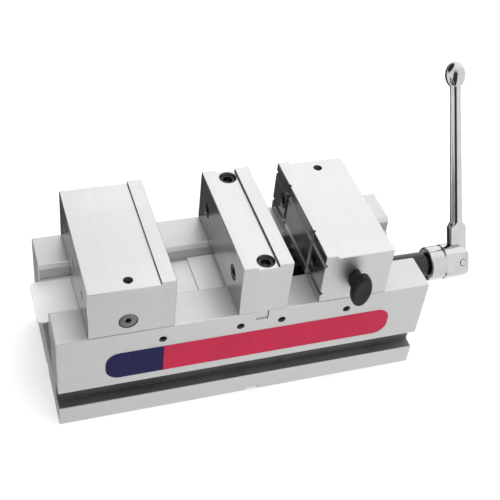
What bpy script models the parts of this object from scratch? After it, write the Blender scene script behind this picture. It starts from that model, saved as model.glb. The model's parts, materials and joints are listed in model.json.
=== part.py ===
# Dual station machine vise: one fixed jaw in the middle, a movable jaw on each side,
# one screw through the bed and a folding crank. Metres, +Z up.
# Origin: middle of the bed's underside. +X runs along the bed to the crank, -Y is the front.

import math

import bmesh
import bpy
from mathutils import Matrix, Vector

# Clearance between faces that touch
GAP = 0.0003

# Bed
BED_LENGTH = 0.384
BED_WIDTH = 0.150
BED_HEIGHT = 0.119
CHANNEL_WIDTH = 0.060
CHANNEL_DEPTH = 0.081
RAIL_CHAMFER = 0.004
COVER_DROP = 0.0147
SHEET_THICKNESS = 0.002
SEAT_STEP = 0.0017
LEDGE_DROP = 0.035
UNDERCUT_WIDTH = 0.076
CLAMP_SLOT_BOTTOM = 0.024
CLAMP_SLOT_HEIGHT = 0.023
CLAMP_SLOT_DEPTH = 0.012
KEYWAY_WIDTH = 0.012
KEYWAY_DEPTH = 0.006
KEYWAY_CHAMFER = 0.002
KEYWAY_RUN = 0.048
EDGE_BREAK = 0.0006

# Holes for a work stop in both sides of the bed
STOP_HOLE_RADIUS = 0.004
STOP_HOLE_DEPTH = 0.014
STOP_HOLE_DROP = 0.0165
STOP_HOLE_PLACES = (-0.0895, -0.0110, 0.0320, 0.1020)

# Jaws
JAW_HEIGHT = 0.058
PLATE_RISE = 0.003
LEFT_OPENING = 0.064
RIGHT_OPENING = 0.033
FIXED_JAW_X = 0.0105
FIXED_JAW_THICKNESS = 0.021
FIXED_PLATE_THICKNESS = 0.0145
LEFT_PLATE_THICKNESS = 0.014
RIGHT_PLATE_THICKNESS = 0.012
LEFT_JAW_LENGTH = 0.069
RIGHT_JAW_LENGTH = 0.060
TAB_WIDTH = 0.012
TAB_DEPTH = 0.0107
TONGUE_SETBACK = 0.012

# Crossed V-grooves in the right jaw plate, for holding round work
GROOVE_WIDTH = 0.006
GROOVE_DEPTH = 0.0028
LEVEL_GROOVE_DROPS = (0.012, 0.049)
UPRIGHT_GROOVE_PLACES = (-0.036, 0.036)

# Pull-down pocket in each movable jaw, set back from the jaw plate
POCKET_WIDTH = 0.042
POCKET_WALL = 0.012
POCKET_BACK = 0.0485
POCKET_RISE = 0.041
SLOPE_RISE = 0.031
SLOPE_DROP = 0.018
BALL_RADIUS = 0.012
BALL_STAND_OUT = 0.002
NUT_FRONT = 0.006
NUT_LENGTH = 0.044
NUT_DROP = 0.075
NUT_CORNER = 0.004
NECK_WIDTH = 0.038
NECK_CLEARANCE = 0.003
NECK_ROOT = 0.004
RETAINER_RISE = 0.027
RETAINER_RADIUS = 0.005

# Screws and plugs in the jaws. An inset is from a jaw's end, a rise from the rails,
# a drop from the jaw's top and a back from the front face of the jaw's block.
SCREW_ROOM = 0.0004
PLATE_SCREW_INSET = 0.028
PLATE_SCREW_DROP = 0.026
PLATE_SCREW_SINK = 0.0006
PLATE_SCREW_RADIUS = 0.005
PLATE_SCREW_HEAD_RADIUS = 0.008
PLATE_SCREW_HEAD_HEIGHT = 0.0085
PLATE_SCREW_FLATS = 0.008
PLATE_SCREW_REACH = 0.018
OUTER_HOLE_RADIUS = 0.005
OUTER_HOLE_DEPTH = 0.009
PLUG_BACK = 0.0308
PLUG_RISE = 0.017
PLUG_RADIUS = 0.009
PLUG_LENGTH = 0.014
PLUG_SINK = 0.0004
PLUG_FLATS = 0.006
TOP_HOLE_BACK = 0.029
TOP_HOLE_INSET = 0.0125
TOP_HOLE_DEPTH = 0.016
SET_SCREW_RADIUS = 0.0043
SET_SCREW_LENGTH = 0.010
SET_SCREW_FLATS = 0.004
RETAINER_FLATS = 0.005
RETAINER_SINK = 0.001
BED_BOLT_INSET = 0.011
BED_BOLT_REACH = 0.022
BED_BOLT_SINK = 0.0025
BED_BOLT_RADIUS = 0.005
BED_BOLT_HEAD_RADIUS = 0.0088
BED_BOLT_HEAD_HEIGHT = 0.0105
BED_BOLT_FLATS = 0.010
DRILL_SPARE = 0.001

# Shares of a screw's own size
EDGE_SHARE = 0.08
CAP_SOCKET_SHARE = 0.55
SET_SOCKET_SHARE = 0.45
FLAT_SOCKET_SHARE = 0.3

# Screw
SCREW_DROP = 0.049
SCREW_RADIUS = 0.012
SCREW_SETBACK = 0.006
SCREW_CHAMFER = 0.0012
JOURNAL_RADIUS = 0.0145
JOURNAL_REACH = 0.0345
JOURNAL_CHAMFER = 0.0006
SHOULDER_RADIUS = 0.0132
SHOULDER_LENGTH = 0.005
DRIVE_FLATS = 0.019
DRIVE_LENGTH = 0.021
THRUST_FLANGE_RADIUS = 0.021
THRUST_FLANGE_THICKNESS = 0.008
THRUST_RACE_THICKNESS = 0.002
THRUST_RADIUS = 0.019
NEEDLE_RADIUS = 0.0015
NEEDLE_COUNT = 12
NEEDLE_SIDES = 6
NEEDLE_MARGIN = 0.001
CAGE_THICKNESS = 0.0012
COLLAR_RADIUS = 0.019
COLLAR_LENGTH = 0.010
COLLAR_SCREW_RADIUS = 0.0025
COLLAR_SCREW_FLATS = 0.0025
COLLAR_SCREW_SINK = 0.0007

# Crank. Its hub's places are from the hub's own left end.
CRANK_LEAN = math.radians(28.7)
HUB_STAND_OFF = 0.0015
HUB_GROOVE_PLACE = 0.018
HUB_GROOVE_WIDTH = 0.002
HUB_GROOVE_DEPTH = 0.001
CRANK_PIN_PLACE = 0.040
HUB_LENGTH = 0.047
HUB_RADIUS = 0.019
HUB_CHAMFER = 0.0015
CLEVIS_RADIUS = 0.0195
CLEVIS_WIDTH = 0.031
CLEVIS_CORNER = 0.013
TANG_THICKNESS = 0.010
TANG_WIDTH = 0.020
TANG_TOP = 0.038
TANG_ROOM = 0.002
ROD_LOW_RADIUS = 0.0070
ROD_HIGH_RADIUS = 0.0058
ROD_SHOULDER = 0.006
ROD_ROOT = 0.004
ROD_NECK = 0.004
ROD_NECK_FLARE = 0.0004
GRIP_HEIGHT = 0.208
GRIP_RADIUS = 0.0112
GRIP_HALF_LENGTH = 0.0148
PIN_RADIUS = 0.0036
PIN_CHAMFER = 0.0005
PIN_STAND_OUT = 0.0004

# Brake on the right jaw. Its knob is oval, and the share is of its height.
BRAKE_BACK = 0.0215
BRAKE_RISE = 0.028
KNOB_WIDTH_SHARE = 0.52
KNOB_RADIUS = 0.0200
KNOB_HUB_RADIUS = 0.0122
KNOB_HUB_LENGTH = 0.009
KNOB_NECK_RADIUS = 0.0105
KNOB_NECK_LENGTH = 0.003
KNOB_HEAD_LENGTH = 0.010
KNOB_CROWN = 0.0035
KNOB_SLOPE = 0.002
STUD_RADIUS = 0.004
STUD_POINT = 0.0032
STUD_INSIDE = 0.021
STUD_IN_KNOB = 0.016
BRAKE_PIN_RADIUS = 0.004

# Places worked out from the dimensions above
HALF_WIDTH = BED_WIDTH / 2
CHANNEL_FLOOR = BED_HEIGHT - CHANNEL_DEPTH
LEDGE_UNDERSIDE = BED_HEIGHT - LEDGE_DROP
SCREW_HEIGHT = BED_HEIGHT - SCREW_DROP
NUT_BOTTOM = BED_HEIGHT - NUT_DROP
JAW_BOTTOM = BED_HEIGHT + GAP
JAW_TOP = BED_HEIGHT + JAW_HEIGHT
PLATE_TOP = JAW_TOP + PLATE_RISE
POCKET_TOP = BED_HEIGHT + POCKET_RISE
SLOPE_HIGH = BED_HEIGHT + SLOPE_RISE
RETAINER_HEIGHT = BED_HEIGHT + RETAINER_RISE
PLUG_HEIGHT = BED_HEIGHT + PLUG_RISE
BRAKE_HEIGHT = BED_HEIGHT + BRAKE_RISE
PLATE_SCREW_HEIGHT = JAW_TOP - PLATE_SCREW_DROP
PLATE_SCREW_PLACE = HALF_WIDTH - PLATE_SCREW_INSET
TOP_HOLE_PLACE = HALF_WIDTH - TOP_HOLE_INSET
BED_BOLT_PLACE = HALF_WIDTH - BED_BOLT_INSET
BED_BOLT_HEAD_BOTTOM = JAW_TOP - BED_BOLT_SINK - BED_BOLT_HEAD_HEIGHT
BED_BOLT_LENGTH = BED_BOLT_HEAD_BOTTOM - (BED_HEIGHT - BED_BOLT_REACH)
NECK_BACK = POCKET_BACK - NECK_CLEARANCE + GAP
COVER_SEAT = BED_HEIGHT - COVER_DROP - SHEET_THICKNESS - GAP
GUARD_SEAT = COVER_SEAT - SHEET_THICKNESS - 2 * GAP
GUARD_HALF_WIDTH = CHANNEL_WIDTH / 2 - SEAT_STEP
THROAT_HALF_WIDTH = GUARD_HALF_WIDTH - SEAT_STEP
FIXED_LEFT = FIXED_JAW_X - FIXED_JAW_THICKNESS / 2
FIXED_RIGHT = FIXED_JAW_X + FIXED_JAW_THICKNESS / 2
FIXED_LEFT_FACE = FIXED_LEFT - GAP - FIXED_PLATE_THICKNESS
FIXED_RIGHT_FACE = FIXED_RIGHT + GAP + FIXED_PLATE_THICKNESS
LEFT_FACE = FIXED_LEFT_FACE - LEFT_OPENING
RIGHT_FACE = FIXED_RIGHT_FACE + RIGHT_OPENING
LEFT_FRONT = LEFT_FACE - LEFT_PLATE_THICKNESS - GAP
RIGHT_FRONT = RIGHT_FACE + RIGHT_PLATE_THICKNESS + GAP
CARRIAGE_RIGHT = RIGHT_FRONT + NUT_FRONT + NUT_LENGTH
CARRIAGE_LEFT = RIGHT_FRONT + NUT_FRONT
BRAKE_X = RIGHT_FRONT + BRAKE_BACK
BRAKE_PIN_Y = -HALF_WIDTH + STUD_INSIDE - 2 * STUD_RADIUS
SCREW_LEFT_END = -BED_LENGTH / 2 + SCREW_SETBACK
JOURNAL_END = BED_LENGTH / 2 + JOURNAL_REACH
SHOULDER_END = JOURNAL_END + SHOULDER_LENGTH
THRUST_START = CARRIAGE_RIGHT + GAP
CAGE_START = THRUST_START + THRUST_RACE_THICKNESS + GAP
OUTER_RACE_START = CAGE_START + 2 * NEEDLE_RADIUS + GAP
FLANGE_START = OUTER_RACE_START + THRUST_RACE_THICKNESS + GAP
CRANK_LEFT = SHOULDER_END + HUB_STAND_OFF
CRANK_GROOVE = CRANK_LEFT + HUB_GROOVE_PLACE
CRANK_PIN_X = CRANK_LEFT + CRANK_PIN_PLACE
CRANK_RIGHT = CRANK_LEFT + HUB_LENGTH

# Guard over the screw, carried by the left nut, and the sheet that it slides under
GUARD_OVERHANG = 0.010
GUARD_CORNER = 0.006
COVER_SHOWS = 0.0237
GUARD_LAP = 0.0215
COVER_REACH = 0.001
COVER_LEFT = FIXED_LEFT_FACE - COVER_SHOWS
GUARD_RIGHT = COVER_LEFT + GUARD_LAP
SHEET_SCREW_RADIUS = 0.002
SHEET_SCREW_LENGTH = 0.008
SHEET_SCREW_SINK = 0.0002
SHEET_SCREW_FLATS = 0.0022
SHEET_HEAD_RADIUS = 0.0036

# Sides of round shapes
ROUND = 28
KNOB_ROUND = 28
ROD_ROUND = 24
BORE_ROUND = 24
BALL_SIDES = 20
BALL_RINGS = 10
SMALL_ROUND = 16

# Turns that lay a shape made in its own XY plane, or along its own Z, on the bed's axes
ALONG_X = Matrix(((0, 0, 1), (1, 0, 0), (0, 1, 0))).to_4x4()
ALONG_Y = Matrix(((1, 0, 0), (0, 0, -1), (0, 1, 0))).to_4x4()
POINT_RIGHT = Matrix.Rotation(math.radians(90), 4, "Y")
POINT_LEFT = Matrix.Rotation(math.radians(-90), 4, "Y")
POINT_FRONT = Matrix.Rotation(math.radians(90), 4, "X")
POINT_UP = Matrix.Identity(4)
POINT_DOWN = Matrix.Rotation(math.radians(180), 4, "X")


def clear_scene():
    for thing in list(bpy.data.objects):
        bpy.data.objects.remove(thing, do_unlink=True)


def make_collection(name):
    group = bpy.data.collections.new(name)
    bpy.context.scene.collection.children.link(group)
    return group


def make_material(name, colour, metallic, roughness):
    surface = bpy.data.materials.new(name)
    surface.use_nodes = True
    shader = surface.node_tree.nodes["Principled BSDF"]
    shader.inputs["Base Color"].default_value = (*colour, 1.0)
    shader.inputs["Metallic"].default_value = metallic
    shader.inputs["Roughness"].default_value = roughness
    return surface


clear_scene()
PARTS = make_collection("dual_station_vise")
CUTTERS = make_collection("cutters")
GROUND_STEEL = make_material("ground_steel", (0.60, 0.61, 0.62), 0.9, 0.32)
CAST_IRON = make_material("ground_cast_iron", (0.55, 0.56, 0.57), 0.8, 0.38)
HARD_PLATE = make_material("hardened_plate", (0.57, 0.58, 0.59), 0.9, 0.28)
BLACK_STEEL = make_material("black_oxide_steel", (0.03, 0.03, 0.032), 0.6, 0.45)
CHROME = make_material("chrome", (0.75, 0.76, 0.78), 1.0, 0.12)
SHEET_STEEL = make_material("sheet_steel", (0.66, 0.67, 0.68), 0.9, 0.30)
BRONZE = make_material("bronze", (0.55, 0.38, 0.18), 0.9, 0.4)
BLACK_PLASTIC = make_material("black_plastic", (0.03, 0.033, 0.032), 0.0, 0.4)


def place(name, mesh, group, matrix, surface=None, parent=None):
    """Puts a mesh in the scene at a place in the bed's frame, under its parent if it has one."""
    thing = bpy.data.objects.new(name, mesh)
    group.objects.link(thing)
    if parent:
        thing.parent = parent
        bpy.context.view_layer.update()
        thing.matrix_world = parent.matrix_world @ matrix
    else:
        thing.matrix_world = matrix
    if surface:
        mesh.materials.clear()
        mesh.materials.append(surface)
    return thing


def hide_cutter(thing):
    thing.hide_render = True
    thing.display_type = "WIRE"
    for group in list(thing.users_collection):
        group.objects.unlink(thing)
    CUTTERS.objects.link(thing)
    return thing


def tidy_mesh(mesh):
    """Welds loose caps, makes each flat side one face and turns every face outwards."""
    build = bmesh.new()
    build.from_mesh(mesh)
    bmesh.ops.remove_doubles(build, verts=build.verts, dist=1e-6)
    bmesh.ops.dissolve_limit(
        build, angle_limit=math.radians(0.1), verts=build.verts, edges=build.edges
    )
    bmesh.ops.recalc_face_normals(build, faces=build.faces)
    build.to_mesh(mesh)
    build.free()
    return mesh


def baked_mesh(thing):
    bpy.context.view_layer.update()
    seen = thing.evaluated_get(bpy.context.evaluated_depsgraph_get())
    return bpy.data.meshes.new_from_object(seen)


def smooth_round(mesh, angle=35.0):
    mesh.shade_smooth()
    mesh.set_sharp_from_angle(angle=math.radians(angle))
    return mesh


def outline_mesh(name, outlines, thickness):
    """A flat outline with a thickness along its own Z; a second outline is a window in the first."""
    curve = bpy.data.curves.new(name, "CURVE")
    curve.dimensions = "2D"
    curve.fill_mode = "BOTH"
    curve.extrude = thickness / 2
    for points in outlines:
        spline = curve.splines.new("POLY")
        spline.points.add(len(points) - 1)
        for point, (across, up) in zip(spline.points, points):
            point.co = (across, up, 0.0, 1.0)
        spline.use_cyclic_u = True
    guide = bpy.data.objects.new(name, curve)
    PARTS.objects.link(guide)
    mesh = tidy_mesh(baked_mesh(guide))
    bpy.data.objects.remove(guide, do_unlink=True)
    return mesh


def at(x=0.0, y=0.0, z=0.0):
    return Matrix.Translation((x, y, z))


def prism_along_x(name, points, left, right, surface=None, parent=None):
    mesh = outline_mesh(name, [points], right - left)
    return place(name, mesh, PARTS, at((left + right) / 2) @ ALONG_X, surface, parent)


def prism_along_y(name, points, width, surface=None, parent=None):
    mesh = outline_mesh(name, [points], width)
    return place(name, mesh, PARTS, ALONG_Y.copy(), surface, parent)


def box_mesh(name, low, high):
    build = bmesh.new()
    size = Vector(high) - Vector(low)
    middle = (Vector(high) + Vector(low)) / 2
    bmesh.ops.create_cube(build, size=1.0)
    bmesh.ops.scale(build, vec=size, verts=build.verts)
    bmesh.ops.translate(build, vec=middle, verts=build.verts)
    mesh = bpy.data.meshes.new(name)
    build.to_mesh(mesh)
    build.free()
    return mesh


def box(name, low, high, surface=None, parent=None):
    return place(name, box_mesh(name, low, high), PARTS, Matrix.Identity(4), surface, parent)


def rod_mesh(name, radius, length, sides=ROUND, mouth=0.0):
    """A rod that starts at its own origin and runs along its own +Z; mouth widens its start."""
    build = bmesh.new()
    bmesh.ops.create_cone(
        build, cap_ends=True, segments=sides, radius1=radius + mouth, radius2=radius, depth=length
    )
    bmesh.ops.translate(build, vec=(0, 0, length / 2), verts=build.verts)
    mesh = bpy.data.meshes.new(name)
    build.to_mesh(mesh)
    build.free()
    return mesh


def rod(name, radius, length, matrix, sides=ROUND, parent=None, mouth=0.0):
    return place(name, rod_mesh(name, radius, length, sides, mouth), PARTS, matrix, None, parent)


def turned_mesh(name, profile, steps=ROUND, closed=False):
    """A shape turned about its own Z. The profile is (radius, height), down its outer side."""
    mesh = bpy.data.meshes.new(name)
    points = [(radius, 0.0, height) for radius, height in profile]
    edges = [(i, i + 1) for i in range(len(points) - 1)]
    if closed:
        edges.append((len(points) - 1, 0))
    mesh.from_pydata(points, edges, [])
    guide = bpy.data.objects.new(name, mesh)
    PARTS.objects.link(guide)
    spin = guide.modifiers.new("turn", "SCREW")
    spin.axis = "Z"
    spin.steps = steps
    spin.render_steps = steps
    spin.use_merge_vertices = True
    spin.merge_threshold = 0.00001
    spin.use_smooth_shade = True
    turned = baked_mesh(guide)
    bpy.data.objects.remove(guide, do_unlink=True)
    return smooth_round(tidy_mesh(turned))


def turned(name, profile, matrix, surface=None, parent=None, steps=ROUND, closed=False):
    mesh = turned_mesh(name, profile, steps, closed)
    return place(name, mesh, PARTS, matrix, surface, parent)


def combine(thing, other, operation):
    change = thing.modifiers.new(other.name, "BOOLEAN")
    change.operation = operation
    change.solver = "EXACT"
    change.object = hide_cutter(other)
    return thing


def cut(thing, *cutters):
    for cutter in cutters:
        combine(thing, cutter, "DIFFERENCE")
    return thing


def add(thing, other):
    return combine(thing, other, "UNION")


def break_edges(thing, width=EDGE_BREAK):
    """Breaks the outer edges. Inner corners stay sharp for what seats in them."""
    build = bmesh.new()
    build.from_mesh(thing.data)
    weight = build.edges.layers.float.new("bevel_weight_edge")
    for edge in build.edges:
        if edge.is_convex and edge.calc_face_angle(0.0) > math.radians(40):
            edge[weight] = 1.0
    build.to_mesh(thing.data)
    build.free()
    bevel = thing.modifiers.new("edge_break", "BEVEL")
    bevel.width = width
    bevel.segments = 1
    bevel.limit_method = "WEIGHT"
    return thing


def hex_radius(flats):
    return flats / 2 / math.cos(math.radians(30))


def arc(centre_x, centre_y, radius, start, end, steps=6):
    """Points on an arc, from one angle in degrees to another."""
    points = []
    for step in range(steps + 1):
        turn = math.radians(start + (end - start) * step / steps)
        points.append((centre_x + radius * math.cos(turn), centre_y + radius * math.sin(turn)))
    return points


def mirrored(half):
    """A closed outline from its half on the +Y side, listed from the top down."""
    return half + [(-across, up) for across, up in reversed(half)]


# Fasteners

def cap_screw_mesh(name, radius, length, head_radius, head_height, flats):
    """A socket head cap screw whose head's top is at its origin and whose shank runs along -Z."""
    soft = EDGE_SHARE * head_radius
    profile = [
        (0.0, 0.0),
        (head_radius - soft, 0.0),
        (head_radius, -soft),
        (head_radius, -head_height),
        (radius, -head_height),
        (radius, -head_height - length + soft),
        (radius - soft, -head_height - length),
        (0.0, -head_height - length),
    ]
    return socketed_mesh(name, profile, flats, CAP_SOCKET_SHARE * head_height)


def set_screw_mesh(name, radius, length, flats):
    """A headless screw whose outer face is at its origin and which runs along -Z."""
    soft = EDGE_SHARE * radius
    profile = [
        (0.0, 0.0),
        (radius - soft, 0.0),
        (radius, -soft),
        (radius, -length + soft),
        (radius - soft, -length),
        (0.0, -length),
    ]
    return socketed_mesh(name, profile, flats, SET_SOCKET_SHARE * length)


def sheet_screw_mesh(name):
    """A countersunk screw whose flat top is at its origin and which runs along -Z."""
    profile = [
        (0.0, 0.0),
        (SHEET_HEAD_RADIUS, 0.0),
        (SHEET_SCREW_RADIUS, SHEET_SCREW_RADIUS - SHEET_HEAD_RADIUS),
        (SHEET_SCREW_RADIUS, -SHEET_SCREW_LENGTH),
        (0.0, -SHEET_SCREW_LENGTH),
    ]
    return socketed_mesh(name, profile, SHEET_SCREW_FLATS, FLAT_SOCKET_SHARE * SHEET_SCREW_LENGTH)


def socketed_mesh(name, profile, flats, depth):
    blank = turned(name, profile, POINT_UP, steps=SMALL_ROUND)
    socket = rod(name + "_socket", hex_radius(flats), 2 * depth, at(z=-depth), sides=6)
    cut(blank, socket)
    mesh = smooth_round(baked_mesh(blank))
    for thing in (blank, socket):
        bpy.data.objects.remove(thing, do_unlink=True)
    mesh.name = name
    return mesh


def plate_screw_mesh(name, plate_thickness, reach):
    """reach is how far the screw goes into the block behind the plate."""
    length = plate_thickness - PLATE_SCREW_SINK - PLATE_SCREW_HEAD_HEIGHT + GAP + reach
    return cap_screw_mesh(
        name,
        PLATE_SCREW_RADIUS,
        length,
        PLATE_SCREW_HEAD_RADIUS,
        PLATE_SCREW_HEAD_HEIGHT,
        PLATE_SCREW_FLATS,
    )


# Bed

def bed_outline():
    """Half of the bed's section, from the rail's inner edge round to the middle of the underside."""
    half_channel = CHANNEL_WIDTH / 2
    slot_back = HALF_WIDTH - CLAMP_SLOT_DEPTH
    slot_top = CLAMP_SLOT_BOTTOM + CLAMP_SLOT_HEIGHT
    inner = [
        (UNDERCUT_WIDTH / 2, CHANNEL_FLOOR),
        (UNDERCUT_WIDTH / 2, LEDGE_UNDERSIDE),
        (THROAT_HALF_WIDTH, LEDGE_UNDERSIDE),
        (THROAT_HALF_WIDTH, GUARD_SEAT),
        (GUARD_HALF_WIDTH, GUARD_SEAT),
        (GUARD_HALF_WIDTH, COVER_SEAT),
        (half_channel, COVER_SEAT),
        (half_channel, BED_HEIGHT - RAIL_CHAMFER),
        (half_channel + RAIL_CHAMFER, BED_HEIGHT),
    ]
    outer = [
        (HALF_WIDTH, BED_HEIGHT),
        (HALF_WIDTH, slot_top),
        (slot_back, slot_top),
        (slot_back, CLAMP_SLOT_BOTTOM),
        (HALF_WIDTH, CLAMP_SLOT_BOTTOM),
        (HALF_WIDTH, 0.0),
    ]
    return mirrored(inner + outer)


def keyway_outline(middle):
    """A keyway's section, cut up from the underside, with chamfered mouth."""
    half = KEYWAY_WIDTH / 2
    return [
        (middle - half - 2 * KEYWAY_CHAMFER, -KEYWAY_CHAMFER),
        (middle + half + 2 * KEYWAY_CHAMFER, -KEYWAY_CHAMFER),
        (middle + half, KEYWAY_CHAMFER),
        (middle + half, KEYWAY_DEPTH),
        (middle - half, KEYWAY_DEPTH),
        (middle - half, KEYWAY_CHAMFER),
    ]


def cut_keyways(bed):
    for end, side in (("left", -1), ("right", 1)):
        outside = side * (BED_LENGTH / 2 + KEYWAY_CHAMFER)
        inside = side * (BED_LENGTH / 2 - KEYWAY_RUN)
        low, high = min(inside, outside), max(inside, outside)
        cut(bed, prism_along_x(f"keyway_{end}", keyway_outline(0.0), low, high))
    for face, side in (("front", -1), ("rear", 1)):
        width = KEYWAY_RUN + KEYWAY_CHAMFER
        cutter = prism_along_y(f"keyway_{face}", keyway_outline(FIXED_JAW_X), width)
        cutter.location.y = side * (HALF_WIDTH - KEYWAY_RUN + width / 2)
        cut(bed, cutter)


def make_bed():
    bed = prism_along_x("vise_bed", bed_outline(), -BED_LENGTH / 2, BED_LENGTH / 2, CAST_IRON)
    break_edges(bed)
    half_tab = TAB_WIDTH / 2 + GAP
    tab_slot = box(
        "tab_slot",
        (FIXED_JAW_X - half_tab, -BED_WIDTH, BED_HEIGHT - TAB_DEPTH - GAP),
        (FIXED_JAW_X + half_tab, BED_WIDTH, BED_HEIGHT + TAB_DEPTH),
    )
    cut(bed, tab_slot)
    cut_keyways(bed)
    for face, side in (("front", -1), ("rear", 1)):
        for number, x in enumerate(STOP_HOLE_PLACES):
            y = side * (HALF_WIDTH - STOP_HOLE_DEPTH)
            turn = POINT_FRONT if side < 0 else POINT_FRONT.inverted()
            hole = at(x, y, BED_HEIGHT - STOP_HOLE_DROP) @ turn
            name = f"stop_hole_{face}_{number}"
            cut(bed, rod(name, STOP_HOLE_RADIUS, 2 * STOP_HOLE_DEPTH, hole, SMALL_ROUND))
        bottom = BED_HEIGHT - BED_BOLT_REACH - 2 * DRILL_SPARE
        bolt_hole = at(FIXED_JAW_X, side * BED_BOLT_PLACE, bottom)
        radius = BED_BOLT_RADIUS + SCREW_ROOM
        cut(bed, rod(f"bed_bolt_hole_{face}", radius, BED_HEIGHT, bolt_hole, SMALL_ROUND))
    return bed


# Jaw plates

def cut_plate_holes(plate, face_x, out, thickness):
    """Counterbored holes in a jaw plate. out is +1 where the gripping face looks along +X."""
    turn = POINT_LEFT if out > 0 else POINT_RIGHT
    sunk = PLATE_SCREW_SINK + PLATE_SCREW_HEAD_HEIGHT + GAP
    for place_name, side in (("front", -1), ("rear", 1)):
        y = side * PLATE_SCREW_PLACE
        name = f"{plate.name}_{place_name}"
        mouth = at(face_x + out * sunk, y, PLATE_SCREW_HEIGHT) @ turn
        radius = PLATE_SCREW_HEAD_RADIUS + SCREW_ROOM
        head = rod(name + "_counterbore", radius, 2 * sunk, mouth, BORE_ROUND)
        start = at(face_x + out * thickness, y, PLATE_SCREW_HEIGHT) @ turn
        shank = rod(
            name + "_hole", PLATE_SCREW_RADIUS + SCREW_ROOM, 3 * thickness, start, SMALL_ROUND
        )
        cut(plate, head, shank)


def make_plate(name, face_x, out, thickness):
    """A jaw plate. face_x is its gripping face, which looks along out."""
    back_x = face_x - out * thickness
    low = (min(face_x, back_x), -HALF_WIDTH, JAW_BOTTOM)
    high = (max(face_x, back_x), HALF_WIDTH, PLATE_TOP)
    plate = break_edges(box(name, low, high, HARD_PLATE))
    cut_plate_holes(plate, face_x, out, thickness)
    return plate


def cut_grooves(plate, face_x):
    """Two level and two upright V-grooves across the gripping face, which looks along -X."""
    half = GROOVE_WIDTH / 2
    middle_z = (JAW_BOTTOM + PLATE_TOP) / 2
    over = 2 * GROOVE_DEPTH
    slant = half * (GROOVE_DEPTH + over) / GROOVE_DEPTH
    outline = [(-over, -slant), (GROOVE_DEPTH, 0.0), (-over, slant)]
    for number, drop in enumerate(LEVEL_GROOVE_DROPS):
        points = [(face_x + deep, PLATE_TOP - drop + up) for deep, up in outline]
        cut(plate, prism_along_y(f"level_groove_{number}", points, 2 * BED_WIDTH))
    for number, y in enumerate(UPRIGHT_GROOVE_PLACES):
        points = [(face_x + deep, y + across) for deep, across in outline]
        mesh = outline_mesh(f"upright_groove_{number}", [points], 2 * JAW_HEIGHT)
        cutter = place(f"upright_groove_{number}", mesh, PARTS, at(z=middle_z))
        cut(plate, cutter)


def place_plate_screws(prefix, face_x, out, thickness, reach=PLATE_SCREW_REACH):
    mesh = plate_screw_mesh(prefix + "_screw", thickness, reach)
    turn = POINT_RIGHT if out > 0 else POINT_LEFT
    for place_name, side in (("front", -1), ("rear", 1)):
        x = face_x - out * PLATE_SCREW_SINK
        matrix = at(x, side * PLATE_SCREW_PLACE, PLATE_SCREW_HEIGHT) @ turn
        place(f"{prefix}_screw_{place_name}", mesh, PARTS, matrix, BLACK_STEEL)


def cut_plate_screw_holes(block, front_x, out):
    """Tapped holes for the plate screws, from a block's face that looks along out."""
    turn = POINT_RIGHT if out > 0 else POINT_LEFT
    depth = PLATE_SCREW_REACH + DRILL_SPARE
    for place_name, side in (("front", -1), ("rear", 1)):
        matrix = at(front_x - out * depth, side * PLATE_SCREW_PLACE, PLATE_SCREW_HEIGHT) @ turn
        name = f"{block.name}_plate_hole_{place_name}_{'right' if out > 0 else 'left'}"
        radius = PLATE_SCREW_RADIUS + SCREW_ROOM
        cut(block, rod(name, radius, 2 * depth, matrix, SMALL_ROUND))


# Fixed jaw

def jaw_blank(name, front_x, back_x, setback, tongue_bottom):
    """A jaw's block on the rails, with the tongue that guides it between them."""
    tongue = CHANNEL_WIDTH / 2 - GAP
    left, right = min(front_x, back_x), max(front_x, back_x)
    block = box(name, (left, -HALF_WIDTH, JAW_BOTTOM), (right, HALF_WIDTH, JAW_TOP), GROUND_STEEL)
    break_edges(block)
    inward = math.copysign(1.0, back_x - front_x)
    near = front_x + inward * (setback + 2 * EDGE_BREAK)
    far = back_x - inward * 2 * EDGE_BREAK
    low = (min(near, far), -tongue, tongue_bottom)
    high = (max(near, far), tongue, JAW_BOTTOM + 2 * EDGE_BREAK)
    return add(block, break_edges(box(name + "_tongue", low, high)))


def make_fixed_jaw():
    tongue_bottom = COVER_SEAT + SHEET_THICKNESS + 2 * GAP
    jaw = jaw_blank("fixed_jaw", FIXED_LEFT, FIXED_RIGHT, 0.0, tongue_bottom)
    tab_end = HALF_WIDTH - 2 * EDGE_BREAK
    tab = box(
        "fixed_jaw_tab",
        (FIXED_JAW_X - TAB_WIDTH / 2, -tab_end, BED_HEIGHT - TAB_DEPTH),
        (FIXED_JAW_X + TAB_WIDTH / 2, tab_end, BED_HEIGHT + TAB_DEPTH),
    )
    add(jaw, tab)
    for place_name, side in (("front", -1), ("rear", 1)):
        y = side * BED_BOLT_PLACE
        sunk = BED_BOLT_SINK + BED_BOLT_HEAD_HEIGHT + GAP
        mouth = at(FIXED_JAW_X, y, JAW_TOP - sunk)
        radius = BED_BOLT_HEAD_RADIUS + SCREW_ROOM
        head = rod(f"bed_bolt_head_{place_name}", radius, 2 * sunk, mouth, BORE_ROUND)
        start = at(FIXED_JAW_X, y, BED_HEIGHT - 2 * TAB_DEPTH)
        radius = BED_BOLT_RADIUS + SCREW_ROOM
        shank = rod(f"bed_bolt_shank_{place_name}", radius, 2 * JAW_HEIGHT, start, SMALL_ROUND)
        cut(jaw, head, shank)
    cut_plate_screw_holes_through(jaw)
    for place_name, side in (("front", -1), ("rear", 1)):
        start = at(FIXED_JAW_X, side * CHANNEL_WIDTH / 4, tongue_bottom - DRILL_SPARE)
        radius = SHEET_SCREW_RADIUS + SCREW_ROOM
        name = f"cover_screw_hole_{place_name}"
        cut(jaw, rod(name, radius, SHEET_SCREW_LENGTH + DRILL_SPARE, start, SMALL_ROUND))
    return jaw


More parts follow.
